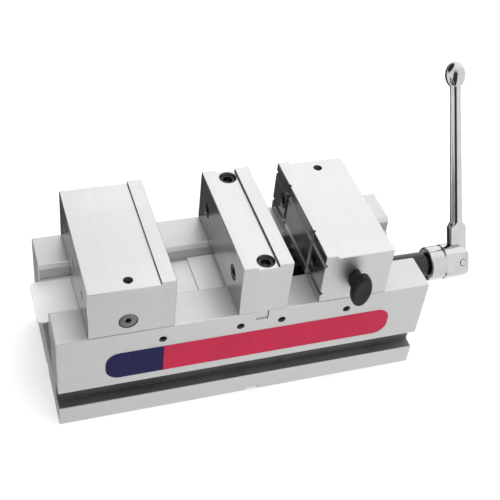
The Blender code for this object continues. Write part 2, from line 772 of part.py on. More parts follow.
def cut_plate_screw_holes_through(jaw):
    """One hole through the fixed jaw at each place takes the plate screws of both plates."""
    for place_name, side in (("front", -1), ("rear", 1)):
        start = at(FIXED_LEFT - GAP, side * PLATE_SCREW_PLACE, PLATE_SCREW_HEIGHT) @ POINT_RIGHT
        radius = PLATE_SCREW_RADIUS + SCREW_ROOM
        name = f"fixed_jaw_plate_hole_{place_name}"
        cut(jaw, rod(name, radius, FIXED_JAW_THICKNESS + 2 * GAP, start, SMALL_ROUND))


def place_fixed_plate_screws():
    """Short screws, so that the two that share a hole in the fixed jaw don't meet."""
    reach = FIXED_JAW_THICKNESS / 2 - 2 * DRILL_SPARE
    place_plate_screws("fixed_left_plate", FIXED_LEFT_FACE, -1, FIXED_PLATE_THICKNESS, reach)
    place_plate_screws("fixed_right_plate", FIXED_RIGHT_FACE, 1, FIXED_PLATE_THICKNESS, reach)


def place_bed_bolts():
    mesh = cap_screw_mesh(
        "bed_bolt",
        BED_BOLT_RADIUS,
        BED_BOLT_LENGTH,
        BED_BOLT_HEAD_RADIUS,
        BED_BOLT_HEAD_HEIGHT,
        BED_BOLT_FLATS,
    )
    for place_name, side in (("front", -1), ("rear", 1)):
        matrix = at(FIXED_JAW_X, side * BED_BOLT_PLACE, JAW_TOP - BED_BOLT_SINK)
        place(f"bed_bolt_{place_name}", mesh, PARTS, matrix, BLACK_STEEL)


# Movable jaws. Inside them, back is the distance behind the block's front face,
# and out is +1 for the left jaw, whose front looks along +X, and -1 for the right jaw.

def pocket_outline(front_x, out):
    low = COVER_SEAT - RAIL_CHAMFER
    points = [
        (POCKET_WALL + SLOPE_DROP, low),
        (POCKET_WALL + SLOPE_DROP, SLOPE_HIGH - SLOPE_DROP),
        (POCKET_WALL, SLOPE_HIGH),
        (POCKET_WALL, POCKET_TOP),
        (POCKET_BACK, POCKET_TOP),
        (POCKET_BACK, low),
    ]
    return [(front_x - out * back, up) for back, up in points]


def neck_outline(front_x, out):
    """The nut's neck: its hooked front lies along the pocket's slope, on the ball segment."""
    spread = (BALL_STAND_OUT + GAP) * math.sqrt(2.0)
    front = POCKET_WALL + SLOPE_DROP + NECK_CLEARANCE
    slope_sum = POCKET_WALL + SLOPE_HIGH + spread
    top = POCKET_TOP - NECK_CLEARANCE
    nose = POCKET_WALL + NECK_CLEARANCE
    points = [
        (front, GUARD_SEAT - NECK_ROOT),
        (front, slope_sum - front),
        (nose, slope_sum - nose),
        (nose, top),
        (NECK_BACK, top),
        (NECK_BACK, GUARD_SEAT - NECK_ROOT),
    ]
    return [(front_x - out * back, up) for back, up in points]


def ball_centre(front_x, out):
    back = POCKET_WALL + SLOPE_DROP / 2
    return Vector((front_x - out * back, 0.0, SLOPE_HIGH - SLOPE_DROP / 2))


def ball_cutter(name, front_x, out):
    build = bmesh.new()
    bmesh.ops.create_uvsphere(
        build, u_segments=BALL_SIDES, v_segments=BALL_RINGS, radius=BALL_RADIUS + GAP
    )
    mesh = bpy.data.meshes.new(name)
    build.to_mesh(mesh)
    build.free()
    return place(name, mesh, PARTS, Matrix.Translation(ball_centre(front_x, out)))


def make_ball_segment(name, front_x, out):
    """A ball with a flat that the nut's slope pushes forwards and down."""
    normal = Vector((-out, 0.0, 1.0)).normalized()
    build = bmesh.new()
    bmesh.ops.create_uvsphere(build, u_segments=BALL_SIDES, v_segments=BALL_RINGS, radius=BALL_RADIUS)
    everything = build.verts[:] + build.edges[:] + build.faces[:]
    bmesh.ops.bisect_plane(
        build,
        geom=everything,
        dist=1e-7,
        plane_co=normal * BALL_STAND_OUT,
        plane_no=normal,
        clear_outer=True,
    )
    rim = [edge for edge in build.edges if edge.is_boundary]
    bmesh.ops.holes_fill(build, edges=rim, sides=0)
    bmesh.ops.recalc_face_normals(build, faces=build.faces)
    mesh = bpy.data.meshes.new(name)
    build.to_mesh(mesh)
    build.free()
    smooth_round(mesh)
    place(name, mesh, PARTS, Matrix.Translation(ball_centre(front_x, out)), GROUND_STEEL)


def make_movable_jaw(name, front_x, out, length):
    back_x = front_x - out * length
    jaw = jaw_blank(name, front_x, back_x, TONGUE_SETBACK, COVER_SEAT + GAP)
    cut(jaw, prism_along_y(name + "_pocket", pocket_outline(front_x, out), POCKET_WIDTH))
    cut(jaw, ball_cutter(name + "_ball_seat", front_x, out))
    cut_plate_screw_holes(jaw, front_x, out)
    cut_retainer_hole(jaw, front_x, out, length)
    cut_outer_holes(jaw, back_x, out)
    cut_top_hole(jaw, front_x, out)
    return jaw


def cut_retainer_hole(jaw, front_x, out, length):
    turn = POINT_RIGHT if out > 0 else POINT_LEFT
    start = at(front_x - out * (length + DRILL_SPARE), 0.0, RETAINER_HEIGHT) @ turn
    reach = length - POCKET_BACK + 2 * DRILL_SPARE
    radius = RETAINER_RADIUS + SCREW_ROOM
    cut(jaw, rod(jaw.name + "_retainer_hole", radius, reach, start, SMALL_ROUND))


def cut_outer_holes(jaw, back_x, out):
    """Tapped holes in the outer face, where the jaw plate goes for wide work."""
    turn = POINT_LEFT if out > 0 else POINT_RIGHT
    for place_name, side in (("front", -1), ("rear", 1)):
        start = at(back_x + out * OUTER_HOLE_DEPTH, side * PLATE_SCREW_PLACE, PLATE_SCREW_HEIGHT)
        name = f"{jaw.name}_outer_hole_{place_name}"
        cut(jaw, rod(name, OUTER_HOLE_RADIUS, 2 * OUTER_HOLE_DEPTH, start @ turn, SMALL_ROUND))


def cut_top_hole(jaw, front_x, out):
    start = at(front_x - out * TOP_HOLE_BACK, -out * TOP_HOLE_PLACE, JAW_TOP - TOP_HOLE_DEPTH)
    radius = SET_SCREW_RADIUS + SCREW_ROOM
    cut(jaw, rod(jaw.name + "_top_hole", radius, 2 * TOP_HOLE_DEPTH, start, SMALL_ROUND))


def place_top_set_screw(name, front_x, out):
    mesh = set_screw_mesh(name, SET_SCREW_RADIUS, SET_SCREW_LENGTH, SET_SCREW_FLATS)
    bottom = JAW_TOP - TOP_HOLE_DEPTH + GAP
    matrix = at(front_x - out * TOP_HOLE_BACK, -out * TOP_HOLE_PLACE, bottom + SET_SCREW_LENGTH)
    place(name, mesh, PARTS, matrix, BLACK_STEEL)


def place_retainer(name, front_x, out, length):
    """The set screw in the jaw's back, which keeps the jaw up against its nut."""
    reach = length - NECK_BACK - GAP - RETAINER_SINK
    mesh = set_screw_mesh(name, RETAINER_RADIUS, reach, RETAINER_FLATS)
    turn = POINT_LEFT if out > 0 else POINT_RIGHT
    matrix = at(front_x - out * (length - RETAINER_SINK), 0.0, RETAINER_HEIGHT) @ turn
    place(name, mesh, PARTS, matrix, BLACK_STEEL)


def make_nut(name, front_x, out, surface):
    """The block in the channel. Its flanges run under the bed's ledges and hold the jaw down."""
    flange = UNDERCUT_WIDTH / 2 - GAP
    throat = THROAT_HALF_WIDTH - GAP
    outline = mirrored([
        (throat, GUARD_SEAT),
        (throat, LEDGE_UNDERSIDE - GAP),
        (flange, LEDGE_UNDERSIDE - GAP),
        (flange, NUT_BOTTOM + NUT_CORNER),
        (flange - NUT_CORNER, NUT_BOTTOM),
    ])
    near = front_x - out * NUT_FRONT
    far = near - out * NUT_LENGTH
    nut = break_edges(prism_along_x(name, outline, min(near, far), max(near, far), surface))
    add(nut, prism_along_y(name + "_neck", neck_outline(front_x, out), NECK_WIDTH))
    start = at(min(near, far) - DRILL_SPARE, 0.0, SCREW_HEIGHT) @ POINT_RIGHT
    cut(nut, rod(name + "_bore", SCREW_RADIUS + GAP, NUT_LENGTH + 2 * DRILL_SPARE, start))
    return nut


def guard_screw_place(side):
    """On the left nut's shoulder, beside its neck."""
    x = LEFT_FRONT - NUT_FRONT - NUT_LENGTH / 2
    y = side * (NECK_WIDTH / 2 + THROAT_HALF_WIDTH) / 2
    return x, y


def cut_flat_screw_hole(thing, name, x, y, top, down=1):
    """A countersunk hole through a sheet; down is -1 where the screw goes in from below."""
    turn = POINT_DOWN if down > 0 else POINT_UP
    through = at(x, y, top + down * DRILL_SPARE) @ turn
    radius = SHEET_SCREW_RADIUS + SCREW_ROOM
    hole = rod(name, radius, 2 * SHEET_THICKNESS, through, SMALL_ROUND)
    mouth = at(x, y, top + down * SCREW_ROOM) @ turn
    depth = SHEET_HEAD_RADIUS - SHEET_SCREW_RADIUS + SCREW_ROOM
    sink = rod(name + "_sink", radius, depth, mouth, SMALL_ROUND, mouth=depth)
    cut(thing, hole, sink)


def make_guard():
    """The sheet that keeps chips off the screw. It rides on the left nut, round its neck."""
    left = -BED_LENGTH / 2 - GUARD_OVERHANG
    half = GUARD_HALF_WIDTH - GAP
    corner = GUARD_CORNER
    outline = (
        arc(left + corner, half - corner, corner, 180, 90)
        + [(GUARD_RIGHT, half), (GUARD_RIGHT, -half)]
        + arc(left + corner, -half + corner, corner, 270, 180)
    )
    neck = neck_outline(LEFT_FRONT, 1)
    near, far = neck[0][0] + GAP, neck[-1][0] - GAP
    side = NECK_WIDTH / 2 + GAP
    window = [(near, side), (near, -side), (far, -side), (far, side)]
    mesh = outline_mesh("channel_guard", [outline, window], SHEET_THICKNESS)
    bottom = GUARD_SEAT + GAP
    guard = place("channel_guard", mesh, PARTS, at(z=bottom + SHEET_THICKNESS / 2), SHEET_STEEL)
    screw = sheet_screw_mesh("guard_screw")
    top = bottom + SHEET_THICKNESS
    for place_name, side in (("front", -1), ("rear", 1)):
        x, y = guard_screw_place(side)
        cut_flat_screw_hole(guard, f"guard_hole_{place_name}", x, y, top)
        matrix = at(x, y, top - SHEET_SCREW_SINK)
        place(f"guard_screw_{place_name}", screw, PARTS, matrix, BLACK_STEEL)


def cut_guard_screw_holes(nut):
    for place_name, side in (("front", -1), ("rear", 1)):
        x, y = guard_screw_place(side)
        depth = SHEET_SCREW_LENGTH
        start = at(x, y, GUARD_SEAT - depth)
        radius = SHEET_SCREW_RADIUS + SCREW_ROOM
        cut(nut, rod(f"nut_guard_hole_{place_name}", radius, 2 * depth, start, SMALL_ROUND))


def make_cover():
    """The sheet between the guard and the fixed jaw, screwed up under the jaw's tongue."""
    half = CHANNEL_WIDTH / 2 - GAP
    bottom = COVER_SEAT + GAP
    right = FIXED_RIGHT + COVER_REACH
    cover = box(
        "channel_cover",
        (COVER_LEFT, -half, bottom),
        (right, half, bottom + SHEET_THICKNESS),
        SHEET_STEEL,
    )
    screw = sheet_screw_mesh("cover_screw")
    for place_name, side in (("front", -1), ("rear", 1)):
        y = side * CHANNEL_WIDTH / 4
        cut_flat_screw_hole(cover, f"cover_hole_{place_name}", FIXED_JAW_X, y, bottom, down=-1)
        matrix = at(FIXED_JAW_X, y, bottom + SHEET_SCREW_SINK) @ POINT_DOWN
        place(f"cover_screw_{place_name}", screw, PARTS, matrix, BLACK_STEEL)


# Left station

def make_left_station():
    jaw = make_movable_jaw("left_jaw", LEFT_FRONT, 1, LEFT_JAW_LENGTH)
    start = at(LEFT_FRONT - PLUG_BACK, -HALF_WIDTH - DRILL_SPARE, PLUG_HEIGHT)
    radius = PLUG_RADIUS + SCREW_ROOM
    depth = PLUG_LENGTH + PLUG_SINK + 2 * DRILL_SPARE
    cut(jaw, rod("left_jaw_side_hole", radius, depth, start @ POINT_FRONT.inverted(), ROUND))
    plug = set_screw_mesh("side_plug", PLUG_RADIUS, PLUG_LENGTH, PLUG_FLATS)
    matrix = at(LEFT_FRONT - PLUG_BACK, -HALF_WIDTH + PLUG_SINK, PLUG_HEIGHT)
    place("left_jaw_side_plug", plug, PARTS, matrix @ POINT_FRONT, BLACK_STEEL)
    make_plate("left_jaw_plate", LEFT_FACE, 1, LEFT_PLATE_THICKNESS)
    place_plate_screws("left_plate", LEFT_FACE, 1, LEFT_PLATE_THICKNESS)
    place_top_set_screw("left_jaw_top_screw", LEFT_FRONT, 1)
    place_retainer("left_jaw_retaining_screw", LEFT_FRONT, 1, LEFT_JAW_LENGTH)
    make_ball_segment("left_ball_segment", LEFT_FRONT, 1)
    cut_guard_screw_holes(make_nut("left_nut", LEFT_FRONT, 1, BRONZE))
    make_guard()


# Right station, with the brake that holds its jaw while the other station is loaded

def make_right_station():
    jaw = make_movable_jaw("right_jaw", RIGHT_FRONT, -1, RIGHT_JAW_LENGTH)
    mouth = at(BRAKE_X, -HALF_WIDTH - DRILL_SPARE, BRAKE_HEIGHT) @ POINT_FRONT.inverted()
    depth = STUD_INSIDE + 2 * DRILL_SPARE
    cut(jaw, rod("brake_stud_hole", STUD_RADIUS + SCREW_ROOM, depth, mouth, BORE_ROUND))
    pin_room = at(BRAKE_X, BRAKE_PIN_Y, BED_HEIGHT - DRILL_SPARE)
    radius = BRAKE_PIN_RADIUS + SCREW_ROOM
    cut(jaw, rod("brake_pin_hole", radius, BRAKE_RISE, pin_room, SMALL_ROUND))
    plate = make_plate("right_jaw_plate", RIGHT_FACE, -1, RIGHT_PLATE_THICKNESS)
    cut_grooves(plate, RIGHT_FACE)
    place_plate_screws("right_plate", RIGHT_FACE, -1, RIGHT_PLATE_THICKNESS)
    place_top_set_screw("right_jaw_top_screw", RIGHT_FRONT, -1)
    place_retainer("right_jaw_retaining_screw", RIGHT_FRONT, -1, RIGHT_JAW_LENGTH)
    make_ball_segment("right_ball_segment", RIGHT_FRONT, -1)
    make_nut("right_carriage", RIGHT_FRONT, -1, GROUND_STEEL)
    make_brake()


def make_knob(axis):
    """A moulded oval knob: an oval hub against the jaw, a neck and a wide head."""
    neck_start = GAP + KNOB_HUB_LENGTH
    head_start = neck_start + KNOB_NECK_LENGTH
    top = head_start + KNOB_HEAD_LENGTH
    shoulder = KNOB_RADIUS - KNOB_CROWN
    dome = arc(shoulder, top - KNOB_CROWN, KNOB_CROWN, 90, 0, steps=4)
    profile = [(0.0, top)] + dome + [
        (KNOB_RADIUS, head_start + KNOB_SLOPE),
        (KNOB_NECK_RADIUS, head_start),
        (KNOB_NECK_RADIUS, neck_start),
        (KNOB_HUB_RADIUS, neck_start - KNOB_SLOPE / 2),
        (KNOB_HUB_RADIUS, GAP),
        (0.0, GAP),
    ]
    mesh = turned_mesh("brake_knob", profile, KNOB_ROUND)
    mesh.transform(Matrix.Diagonal((KNOB_WIDTH_SHARE, 1.0, 1.0, 1.0)))
    knob = place("brake_knob", mesh, PARTS, POINT_UP, BLACK_PLASTIC, axis)
    start = at(z=-STUD_IN_KNOB + GAP)
    cut(knob, rod("knob_bore", STUD_RADIUS + GAP, 2 * STUD_IN_KNOB, start, BORE_ROUND, axis))


def make_brake():
    axis = make_pivot("brake_axis", at(BRAKE_X, -HALF_WIDTH, BRAKE_HEIGHT) @ POINT_FRONT)
    make_knob(axis)
    stud = [
        (0.0, STUD_IN_KNOB),
        (STUD_RADIUS, STUD_IN_KNOB),
        (STUD_RADIUS, -STUD_INSIDE + STUD_POINT),
        (STUD_RADIUS - STUD_POINT, -STUD_INSIDE),
        (0.0, -STUD_INSIDE),
    ]
    turned("brake_stud", stud, POINT_UP, BLACK_STEEL, axis, steps=BORE_ROUND)
    pin_top = BRAKE_HEIGHT - STUD_RADIUS - GAP
    mesh = rod_mesh("brake_pin", BRAKE_PIN_RADIUS, pin_top - JAW_BOTTOM, SMALL_ROUND)
    smooth_round(mesh)
    place("brake_pin", mesh, PARTS, at(BRAKE_X, BRAKE_PIN_Y, JAW_BOTTOM), BRONZE)


# Screw and crank

def make_pivot(name, matrix, parent=None):
    pivot = bpy.data.objects.new(name, None)
    PARTS.objects.link(pivot)
    if parent:
        pivot.parent = parent
    bpy.context.view_layer.update()
    pivot.matrix_world = matrix
    bpy.context.view_layer.update()
    return pivot


def along(profile):
    """A profile given as (x, radius) from left to right, as one that is turned about its own Z."""
    return [(radius, x) for x, radius in reversed(profile)]


def make_screw(axis):
    soft = SCREW_CHAMFER
    flange_end = FLANGE_START + THRUST_FLANGE_THICKNESS
    profile = [
        (SCREW_LEFT_END, 0.0),
        (SCREW_LEFT_END, SCREW_RADIUS - soft),
        (SCREW_LEFT_END + soft, SCREW_RADIUS),
        (FLANGE_START, SCREW_RADIUS),
        (FLANGE_START, THRUST_FLANGE_RADIUS),
        (flange_end, THRUST_FLANGE_RADIUS),
        (flange_end, JOURNAL_RADIUS),
        (JOURNAL_END - JOURNAL_CHAMFER, JOURNAL_RADIUS),
        (JOURNAL_END, JOURNAL_RADIUS - JOURNAL_CHAMFER),
        (JOURNAL_END, SHOULDER_RADIUS),
        (SHOULDER_END - soft, SHOULDER_RADIUS),
        (SHOULDER_END, SHOULDER_RADIUS - soft),
        (SHOULDER_END, 0.0),
    ]
    screw = turned("lead_screw", along(profile), POINT_RIGHT, BLACK_STEEL, axis)
    root = SHOULDER_LENGTH / 2
    start = at(SHOULDER_END - root) @ POINT_RIGHT
    drive = rod("screw_drive", hex_radius(DRIVE_FLATS), DRIVE_LENGTH + root, start, 6, axis)
    add(screw, drive)


def ring(name, start, length, radius, bore, surface, axis, steps=ROUND):
    profile = [
        (radius, start + length),
        (radius, start),
        (bore, start),
        (bore, start + length),
    ]
    return turned(name, profile, POINT_RIGHT, surface, axis, steps=steps, closed=True)


def make_thrust_bearing(axis):
    bore = SCREW_RADIUS + GAP
    for name, start in (("thrust_race_inner", THRUST_START), ("thrust_race_outer", OUTER_RACE_START)):
        ring(name, start, THRUST_RACE_THICKNESS, THRUST_RADIUS, bore, GROUND_STEEL, axis)
    middle = CAGE_START + NEEDLE_RADIUS
    left = middle - CAGE_THICKNESS / 2
    cage = ring("needle_cage", left, CAGE_THICKNESS, THRUST_RADIUS, bore, BRONZE, axis)
    inner, outer = bore + NEEDLE_MARGIN, THRUST_RADIUS - NEEDLE_MARGIN
    for number in range(NEEDLE_COUNT):
        turn = Matrix.Rotation(2 * math.pi * number / NEEDLE_COUNT, 4, "X")
        start = at(middle) @ turn @ at(z=inner)
        needle = rod(f"needle_{number}", NEEDLE_RADIUS, outer - inner, start, NEEDLE_SIDES, axis)
        add(cage, needle)


def make_collar(axis):
    """Holds the screw in the carriage when the jaws are opened."""
    bore = SCREW_RADIUS + GAP
    start = CARRIAGE_LEFT - GAP - COLLAR_LENGTH
    collar = ring("retaining_collar", start, COLLAR_LENGTH, COLLAR_RADIUS, bore, BLACK_STEEL, axis)
    middle = start + COLLAR_LENGTH / 2
    radius = COLLAR_SCREW_RADIUS + SCREW_ROOM
    cut(collar, rod("collar_screw_hole", radius, COLLAR_RADIUS, at(middle), SMALL_ROUND, axis))
    top = COLLAR_RADIUS - COLLAR_SCREW_SINK
    length = top - SCREW_RADIUS - GAP
    mesh = set_screw_mesh("collar_screw", COLLAR_SCREW_RADIUS, length, COLLAR_SCREW_FLATS)
    matrix = at(middle, 0.0, top)
    place("collar_set_screw", mesh, PARTS, matrix, BLACK_STEEL, axis)


def make_crank_hub(axis):
    """A hex socket on the left and, on the right, a fork that the handle folds in."""
    soft = HUB_CHAMFER
    groove = HUB_GROOVE_DEPTH
    socket = [
        (CRANK_LEFT, 0.0),
        (CRANK_LEFT, HUB_RADIUS - soft),
        (CRANK_LEFT + soft, HUB_RADIUS),
        (CRANK_GROOVE - groove, HUB_RADIUS),
        (CRANK_GROOVE, HUB_RADIUS - groove),
        (CRANK_GROOVE + HUB_GROOVE_WIDTH, HUB_RADIUS - groove),
        (CRANK_GROOVE + HUB_GROOVE_WIDTH, 0.0),
    ]
    hub = turned("crank_hub", along(socket), POINT_RIGHT, CHROME, axis)
    corner = CLEVIS_CORNER
    low, right = CLEVIS_RADIUS, CRANK_RIGHT
    outline = (
        [(CRANK_GROOVE + groove, -low)]
        + arc(right - corner, -low + corner, corner, -90, 0)
        + arc(right - corner, low - corner, corner, 0, 90)
        + [(CRANK_GROOVE + groove, low)]
    )
    fork = prism_along_y("crank_fork", outline, CLEVIS_WIDTH, parent=axis)
    barrel = rod("fork_barrel", CLEVIS_RADIUS, 2 * HUB_LENGTH, at(CRANK_LEFT) @ POINT_RIGHT, ROUND, axis)
    combine(fork, barrel, "INTERSECT")
    add(hub, fork)
    socket_start = at(CRANK_LEFT - DRILL_SPARE) @ POINT_RIGHT
    depth = DRIVE_LENGTH - HUB_STAND_OFF + 2 * DRILL_SPARE
    flats = DRIVE_FLATS + 2 * GAP
    cut(hub, rod("hub_socket", hex_radius(flats), depth, socket_start, 6, axis))
    slot_left = CRANK_PIN_X - TANG_WIDTH / 2 - TANG_ROOM
    half = TANG_THICKNESS / 2 + GAP
    slot = box(
        "fork_slot",
        (slot_left, -half, -2 * CLEVIS_RADIUS),
        (2 * CRANK_RIGHT, half, 2 * CLEVIS_RADIUS),
        parent=axis,
    )
    cut(hub, slot)
    pin_start = at(CRANK_PIN_X, CLEVIS_WIDTH, 0.0) @ POINT_FRONT
    cut(hub, rod("fork_pin_hole", PIN_RADIUS + GAP, 2 * CLEVIS_WIDTH, pin_start, BORE_ROUND, axis))


def make_crank_pin(axis):
    half = CLEVIS_WIDTH / 2 + PIN_STAND_OUT
    soft = PIN_CHAMFER
    profile = [
        (0.0, half),
        (PIN_RADIUS - soft, half),
        (PIN_RADIUS, half - soft),
        (PIN_RADIUS, -half + soft),
        (PIN_RADIUS - soft, -half),
        (0.0, -half),
    ]
    turned("crank_pin", profile, at(CRANK_PIN_X) @ POINT_FRONT, CHROME, axis, steps=BORE_ROUND)


def make_handle(axis):
    """One forging: a flat tang, a tapered rod and an oval grip at its end."""
    tang_half = TANG_WIDTH / 2
    shoulder = TANG_TOP + ROD_SHOULDER
    outline = (
        arc(0.0, 0.0, tang_half, 180, 360, steps=12)
        + [(tang_half, TANG_TOP), (ROD_LOW_RADIUS, shoulder)]
        + [(-ROD_LOW_RADIUS, shoulder), (-tang_half, TANG_TOP)]
    )
    mesh = outline_mesh("crank_handle", [outline], TANG_THICKNESS)
    handle = place("crank_handle", mesh, PARTS, ALONG_Y.copy(), CHROME, axis)
    break_edges(handle)
    neck = GRIP_HEIGHT - GRIP_HALF_LENGTH
    grip = [
        (GRIP_RADIUS * math.sin(turn), GRIP_HEIGHT + GRIP_HALF_LENGTH * math.cos(turn))
        for turn in [math.radians(15 * step) for step in range(11)]
    ]
    root_radius = TANG_THICKNESS / 2 - 2 * EDGE_BREAK
    rod_profile = grip + [
        (ROD_HIGH_RADIUS + ROD_NECK_FLARE, neck),
        (ROD_HIGH_RADIUS, neck - ROD_NECK),
        (ROD_LOW_RADIUS, shoulder - ROD_ROOT / 2),
        (root_radius, TANG_TOP - ROD_ROOT),
        (0.0, TANG_TOP - ROD_ROOT),
    ]
    add(handle, turned("handle_rod", rod_profile, POINT_UP, None, axis, steps=ROD_ROUND))
    start = at(y=TANG_THICKNESS) @ POINT_FRONT
    hole = rod("handle_pin_hole", PIN_RADIUS + GAP, 2 * TANG_THICKNESS, start, BORE_ROUND, axis)
    cut(handle, hole)


def make_drive():
    lean = Matrix.Rotation(-CRANK_LEAN, 4, "X")
    axis = make_pivot("screw_axis", at(z=SCREW_HEIGHT) @ lean)
    make_screw(axis)
    make_thrust_bearing(axis)
    make_collar(axis)
    make_crank_hub(axis)
    make_crank_pin(axis)
    fold = make_pivot("fold_axis", axis.matrix_world @ at(CRANK_PIN_X), axis)
    make_handle(fold)


def make_vise():
    make_bed()
    make_fixed_jaw()
    make_plate("fixed_jaw_left_plate", FIXED_LEFT_FACE, -1, FIXED_PLATE_THICKNESS)
    make_plate("fixed_jaw_right_plate", FIXED_RIGHT_FACE, 1, FIXED_PLATE_THICKNESS)
    place_fixed_plate_screws()
    place_bed_bolts()
    make_cover()
    make_left_station()
    make_right_station()
    make_drive()


make_vise()
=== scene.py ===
import json
import math

import bmesh
import bpy
from mathutils import Matrix, Vector


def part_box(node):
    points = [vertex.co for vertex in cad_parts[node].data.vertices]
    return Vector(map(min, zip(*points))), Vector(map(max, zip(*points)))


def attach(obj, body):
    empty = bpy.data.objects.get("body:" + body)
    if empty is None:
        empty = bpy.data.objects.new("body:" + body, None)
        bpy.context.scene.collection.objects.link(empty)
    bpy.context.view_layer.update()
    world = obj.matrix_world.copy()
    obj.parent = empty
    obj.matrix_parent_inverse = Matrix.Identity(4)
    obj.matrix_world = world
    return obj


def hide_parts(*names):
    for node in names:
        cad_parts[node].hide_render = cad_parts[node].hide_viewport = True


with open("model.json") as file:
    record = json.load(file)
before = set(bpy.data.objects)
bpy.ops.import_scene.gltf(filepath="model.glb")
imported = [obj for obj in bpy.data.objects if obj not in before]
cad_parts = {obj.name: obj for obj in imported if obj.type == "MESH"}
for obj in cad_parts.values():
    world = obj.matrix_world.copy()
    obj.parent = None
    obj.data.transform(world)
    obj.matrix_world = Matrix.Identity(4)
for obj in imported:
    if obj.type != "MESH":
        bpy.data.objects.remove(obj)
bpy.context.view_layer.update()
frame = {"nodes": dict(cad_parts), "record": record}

scene = bpy.context.scene
nodes = frame["nodes"]
record = frame["record"]
slotOf = {row["node"]: row["material_slot"] for row in record["subparts"]}
bodyOf = {node: body for body, members in record["behaviour"]["bodies"].items() for node in members}


# Camera and studio

camera = {
    "position": (-0.2680, -0.6951, 0.8172),
    "direction": (0.2822, 0.6829, -0.6738),
    "roll": math.radians(7.4),
    "lens": 71.47,
    "sensor": 36.0,
    "near": 0.01,
    "far": 100.0,
}

studio = {
    "floorSize": 14.0,
    "floorColour": (0.56, 0.56, 0.56, 1.0),
    "floorRoughness": 0.9,
    "floorGlow": 0.35,
    "floorDrop": 0.0002,
    "background": 1.0,
    "tent": 1.60,  # what metal mirrors low down
    "overhead": 0.35,  # more above and behind, which the tops mirror
    "overheadAim": (0.28, 0.68, 0.67),
    "overheadSoftness": (0.30, 0.80),
    "lowCard": 0.97,  # a black card low behind
    "lowCardAim": (-0.05, 0.78, -0.63),
    "lowCardSoftness": (0.70, 0.88),
    "leftCard": 0.97,  # a black card behind on the left
    "leftCardAim": (-0.60, 0.64, 0.48),
    "leftCardSoftness": (0.72, 0.88),
    "gap": 0.95,  # the upright gap in the tent for the camera, a streak in round chrome
    "gapAim": (-0.50, -0.866, 0.0),
    "gapAcross": (0.866, -0.50, 0.0),
    "gapSoftness": (0.24, 0.40),
    "gapTop": 0.40,
    "gapFoot": (-0.92, -0.80),
    "gapHead": (0.60, 0.92),
    "gapSide": (-0.05, 0.15),
    "lampPlace": (-0.10, -0.35, 1.6),
    "lampSize": 1.4,
    "lampWatts": 12.0,
}


def makeCamera():
    settings = bpy.data.cameras.new("camera")
    settings.lens = camera["lens"]
    settings.sensor_width = camera["sensor"]
    settings.clip_start = camera["near"]
    settings.clip_end = camera["far"]
    view = bpy.data.objects.new("camera", settings)
    scene.collection.objects.link(view)
    forward = Vector(camera["direction"]).normalized()
    level = forward.cross(Vector((0, 0, 1))).normalized()
    upright = level.cross(forward)
    right = level * math.cos(camera["roll"]) + upright * math.sin(camera["roll"])
    up = right.cross(forward)
    turn = Matrix((right, up, -forward)).transposed()
    view.matrix_world = Matrix.Translation(camera["position"]) @ turn.to_4x4()
    scene.camera = view


def makeFloor():
    build = bmesh.new()
    bmesh.ops.create_grid(build, x_segments=1, y_segments=1, size=studio["floorSize"] / 2)
    bmesh.ops.translate(build, vec=(0, 0, -studio["floorDrop"]), verts=build.verts)
    mesh = bpy.data.meshes.new("floor")
    build.to_mesh(mesh)
    build.free()
    floor = bpy.data.objects.new("floor", mesh)
    scene.collection.objects.link(floor)
    paper = bpy.data.materials.new("floorPaper")
    paper.use_nodes = True
    shader = paper.node_tree.nodes["Principled BSDF"]
    shader.inputs["Base Color"].default_value = studio["floorColour"]
    shader.inputs["Roughness"].default_value = studio["floorRoughness"]
    shader.inputs["Emission Color"].default_value = (1, 1, 1, 1)
    shader.inputs["Emission Strength"].default_value = studio["floorGlow"]
    mesh.materials.append(paper)
    floor.visible_diffuse = False
    floor.visible_glossy = False


def makeLamp():
    lamp = bpy.data.lights.new("softbox", "AREA")
    lamp.shape = "SQUARE"
    lamp.size = studio["lampSize"]
    lamp.energy = studio["lampWatts"]
    softbox = bpy.data.objects.new("softbox", lamp)
    scene.collection.objects.link(softbox)
    softbox.location = studio["lampPlace"]
    softbox.rotation_euler = (-Vector(studio["lampPlace"])).to_track_quat("-Z", "Y").to_euler()
    softbox.visible_glossy = False


def addNode(tree, kind, inputs=None, **settings):  # a socket given as a value is linked
    node = tree.nodes.new(kind)
    for name, value in settings.items():
        setattr(node, name, value)
    for name, value in (inputs or {}).items():
        if isinstance(value, bpy.types.NodeSocket):
            tree.links.new(value, node.inputs[name])
        else:
            node.inputs[name].default_value = value
    return node


def compute(tree, operation, *values):
    return addNode(tree, "ShaderNodeMath", dict(enumerate(values)), operation=operation).outputs["Value"]


def times(tree, first, second):
    return compute(tree, "MULTIPLY", first, second)


def along(tree, where, aim):
    product = addNode(tree, "ShaderNodeVectorMath", {0: where, 1: aim}, operation="DOT_PRODUCT")
    return product.outputs["Value"]


def remap(tree, value, low, high, start=0.0, end=1.0, **settings):  # start at low, end at high
    reach = {"Value": value, "From Min": low, "From Max": high, "To Min": start, "To Max": end}
    return addNode(tree, "ShaderNodeMapRange", reach, **settings).outputs["Result"]


def fadeBetween(tree, value, low, high, start=0.0, end=1.0):  # the same with soft ends
    return remap(tree, value, low, high, start, end, interpolation_type="SMOOTHSTEP")


